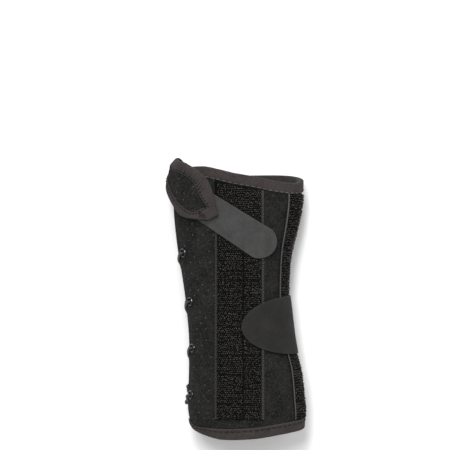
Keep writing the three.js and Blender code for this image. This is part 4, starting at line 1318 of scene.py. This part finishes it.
def add_lace(cord):
    """Lace: a braided round cord through every eyelet, with an overhand knot at each end."""
    thickness, relief, sides = 0.96, 0.07, 18
    anchors = lace_points()
    path = smooth_path(anchors, LACE_STEP)
    tangent = unit(np.gradient(path, axis=0))
    turn, distance = np.linspace(0, TURN, sides, endpoint=False), arc_lengths(path, 0)[:, None]
    radius = LACE_RADIUS * (thickness + relief * braid(distance, turn))
    points, faces = tubes(sweep(path, tangent, (0, 1, 0), radius, turn)[None])
    piece = place_piece("lace_cord", points, faces, cord, flat_map(turn, distance))
    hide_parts("lace")
    for name, end, before in (("back", anchors[-1], anchors[-2]), ("palm", anchors[0], anchors[1])):
        add_knot(name, end, unit(end - before), cord)


def add_knot(name, end, heading, cord):
    """Overhand knot: a thick trefoil, its axis across the lace, drawn tight where the lace ends."""
    size, thickness, relief, steps, sides = 0.45, 0.82, 0.05, 150, 14
    t = np.linspace(0, TURN, steps, endpoint=False)
    trefoil = np.sin(t) + 2 * np.sin(2 * t), np.cos(t) - 2 * np.cos(2 * t), -2 * np.sin(3 * t)
    side = unit(np.cross(heading, (0, 1, 0)))
    axes = np.stack([heading, side, np.cross(heading, side)])
    path = end + heading * (KNOT_RADIUS + GAP) + (np.stack(trefoil, -1) * size) @ axes
    tangent = unit(np.roll(path, -1, 0) - np.roll(path, 1, 0))
    turn, distance = np.linspace(0, TURN, sides, endpoint=False), arc_lengths(path, 0)[:, None]
    radius = thickness + relief * braid(distance, turn)
    points, faces = wrapped(sweep(path, tangent, axes[2], radius, turn))
    piece = place_piece(f"{name}_knot", points, faces, cord, flat_map(turn, distance))
    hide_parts(f"{name}_lace_knot")


def add_panel_stitches(thread, tack_thread):
    """Seams of the panel and the strip: along selvages, across the panel's end, in its groove, and tacks."""
    seam_rise, strip_rise, end_rise, seam_steps, end_steps, pitch = 0.3, 0.32, 0.9, 240, 80, 2.4
    end_inset, tack_inset, end_margin, tack_margin, groove_margin = 1.6, 1.1, 0.8, 0.4, 2
    left_top, right_top, line_margin = 101, 94, 1

    def seam(angle, y, lift):
        return lifted(angle, y, lift), section_normal(angle, y)

    def panel_seam(x, low, high):
        line = np.linspace(low, high, seam_steps)
        return seam(back_angle(np.broadcast_to(x, line.shape), line), line, GAP + BACKING + seam_rise)

    def end_seam(left, right, inset):
        line = np.linspace(left, right, end_steps)
        low = np.full_like(line, PANEL_LOW + inset)
        return seam(back_angle(line, low), low, GAP + BACKING + end_rise)

    strip_line = np.linspace(STRIP["y"][0] + line_margin, STRIP["y"][-1] - line_margin, seam_steps)
    strip = seam(strip_angle(STRIP_SEAM, strip_line), strip_line, STRIP_GAP + BACKING + strip_rise)
    seams = [
        panel_seam(PANEL_LEFT + SELVAGE / 2, PANEL_LOW + line_margin, left_top),
        panel_seam(PANEL_RIGHT - SELVAGE / 2, PANEL_LOW + line_margin, right_top),
        end_seam(PANEL_LEFT + end_margin, PANEL_RIGHT - end_margin, end_inset),
    ]
    tack_lefts = PANEL_LEFT + tack_margin, PANEL_RIGHT - tack_margin - TACK_LENGTH
    tacks = [end_seam(left, left + TACK_LENGTH, tack_inset) for left in tack_lefts]
    groove = panel_seam(GROOVE_X, PANEL_LOW + groove_margin, GROOVE_TOP - groove_margin)
    add_stitches("panel_stitches", seams, pitch, radius=0.17, thread=thread)
    add_stitches("panel_tacks", tacks, pitch=0.8, radius=0.26, thread=tack_thread, zigzag=0.4, fill=0.9)
    add_stitches("groove_stitches", [groove], pitch, radius=0.2, thread=thread)
    add_stitches("strip_stitches", [strip], pitch, radius=0.16, thread=thread)


add_camera()
add_studio()
wrap_finish = wrap_cloth()
tape_finish = edge_tape_cloth()
pale_thread = thread_cloth("pale_thread", dark=0.048, light=0.10)
grey_thread = thread_cloth("grey_thread", dark=0.012, light=0.028)
dark_thread = thread_cloth("dark_thread", dark=0.003, light=0.012)
backing_finish = backing_cloth()
pile_finish = pile_cloth()
add_wrap(wrap_finish)
add_end_tape(
    "finger_tape", "finger_edge_tape", length=1, seam_inset=FINGER_SEAM, painted_seam_shade=0.7, narrowing=0.0,
    cloth=tape_finish, thread=pale_thread,
)
add_end_tape(
    "elbow_tape", "elbow_edge_tape", length=0, seam_inset=ELBOW_SEAM, painted_seam_shade=0.25, narrowing=0.45,
    cloth=tape_finish, thread=grey_thread,
)
add_loop_panel(backing_finish, pile_finish)
add_loop_strip(backing_finish, pile_finish)
add_panel_stitches(dark_thread, pale_thread)
add_tab(tab_cloth())
add_strap(strap_cloth())
add_flap(wrap_finish)
add_flap_tape(tape_finish, dark_thread)
add_eyelets(black_metal())
add_lace(cord_cloth())
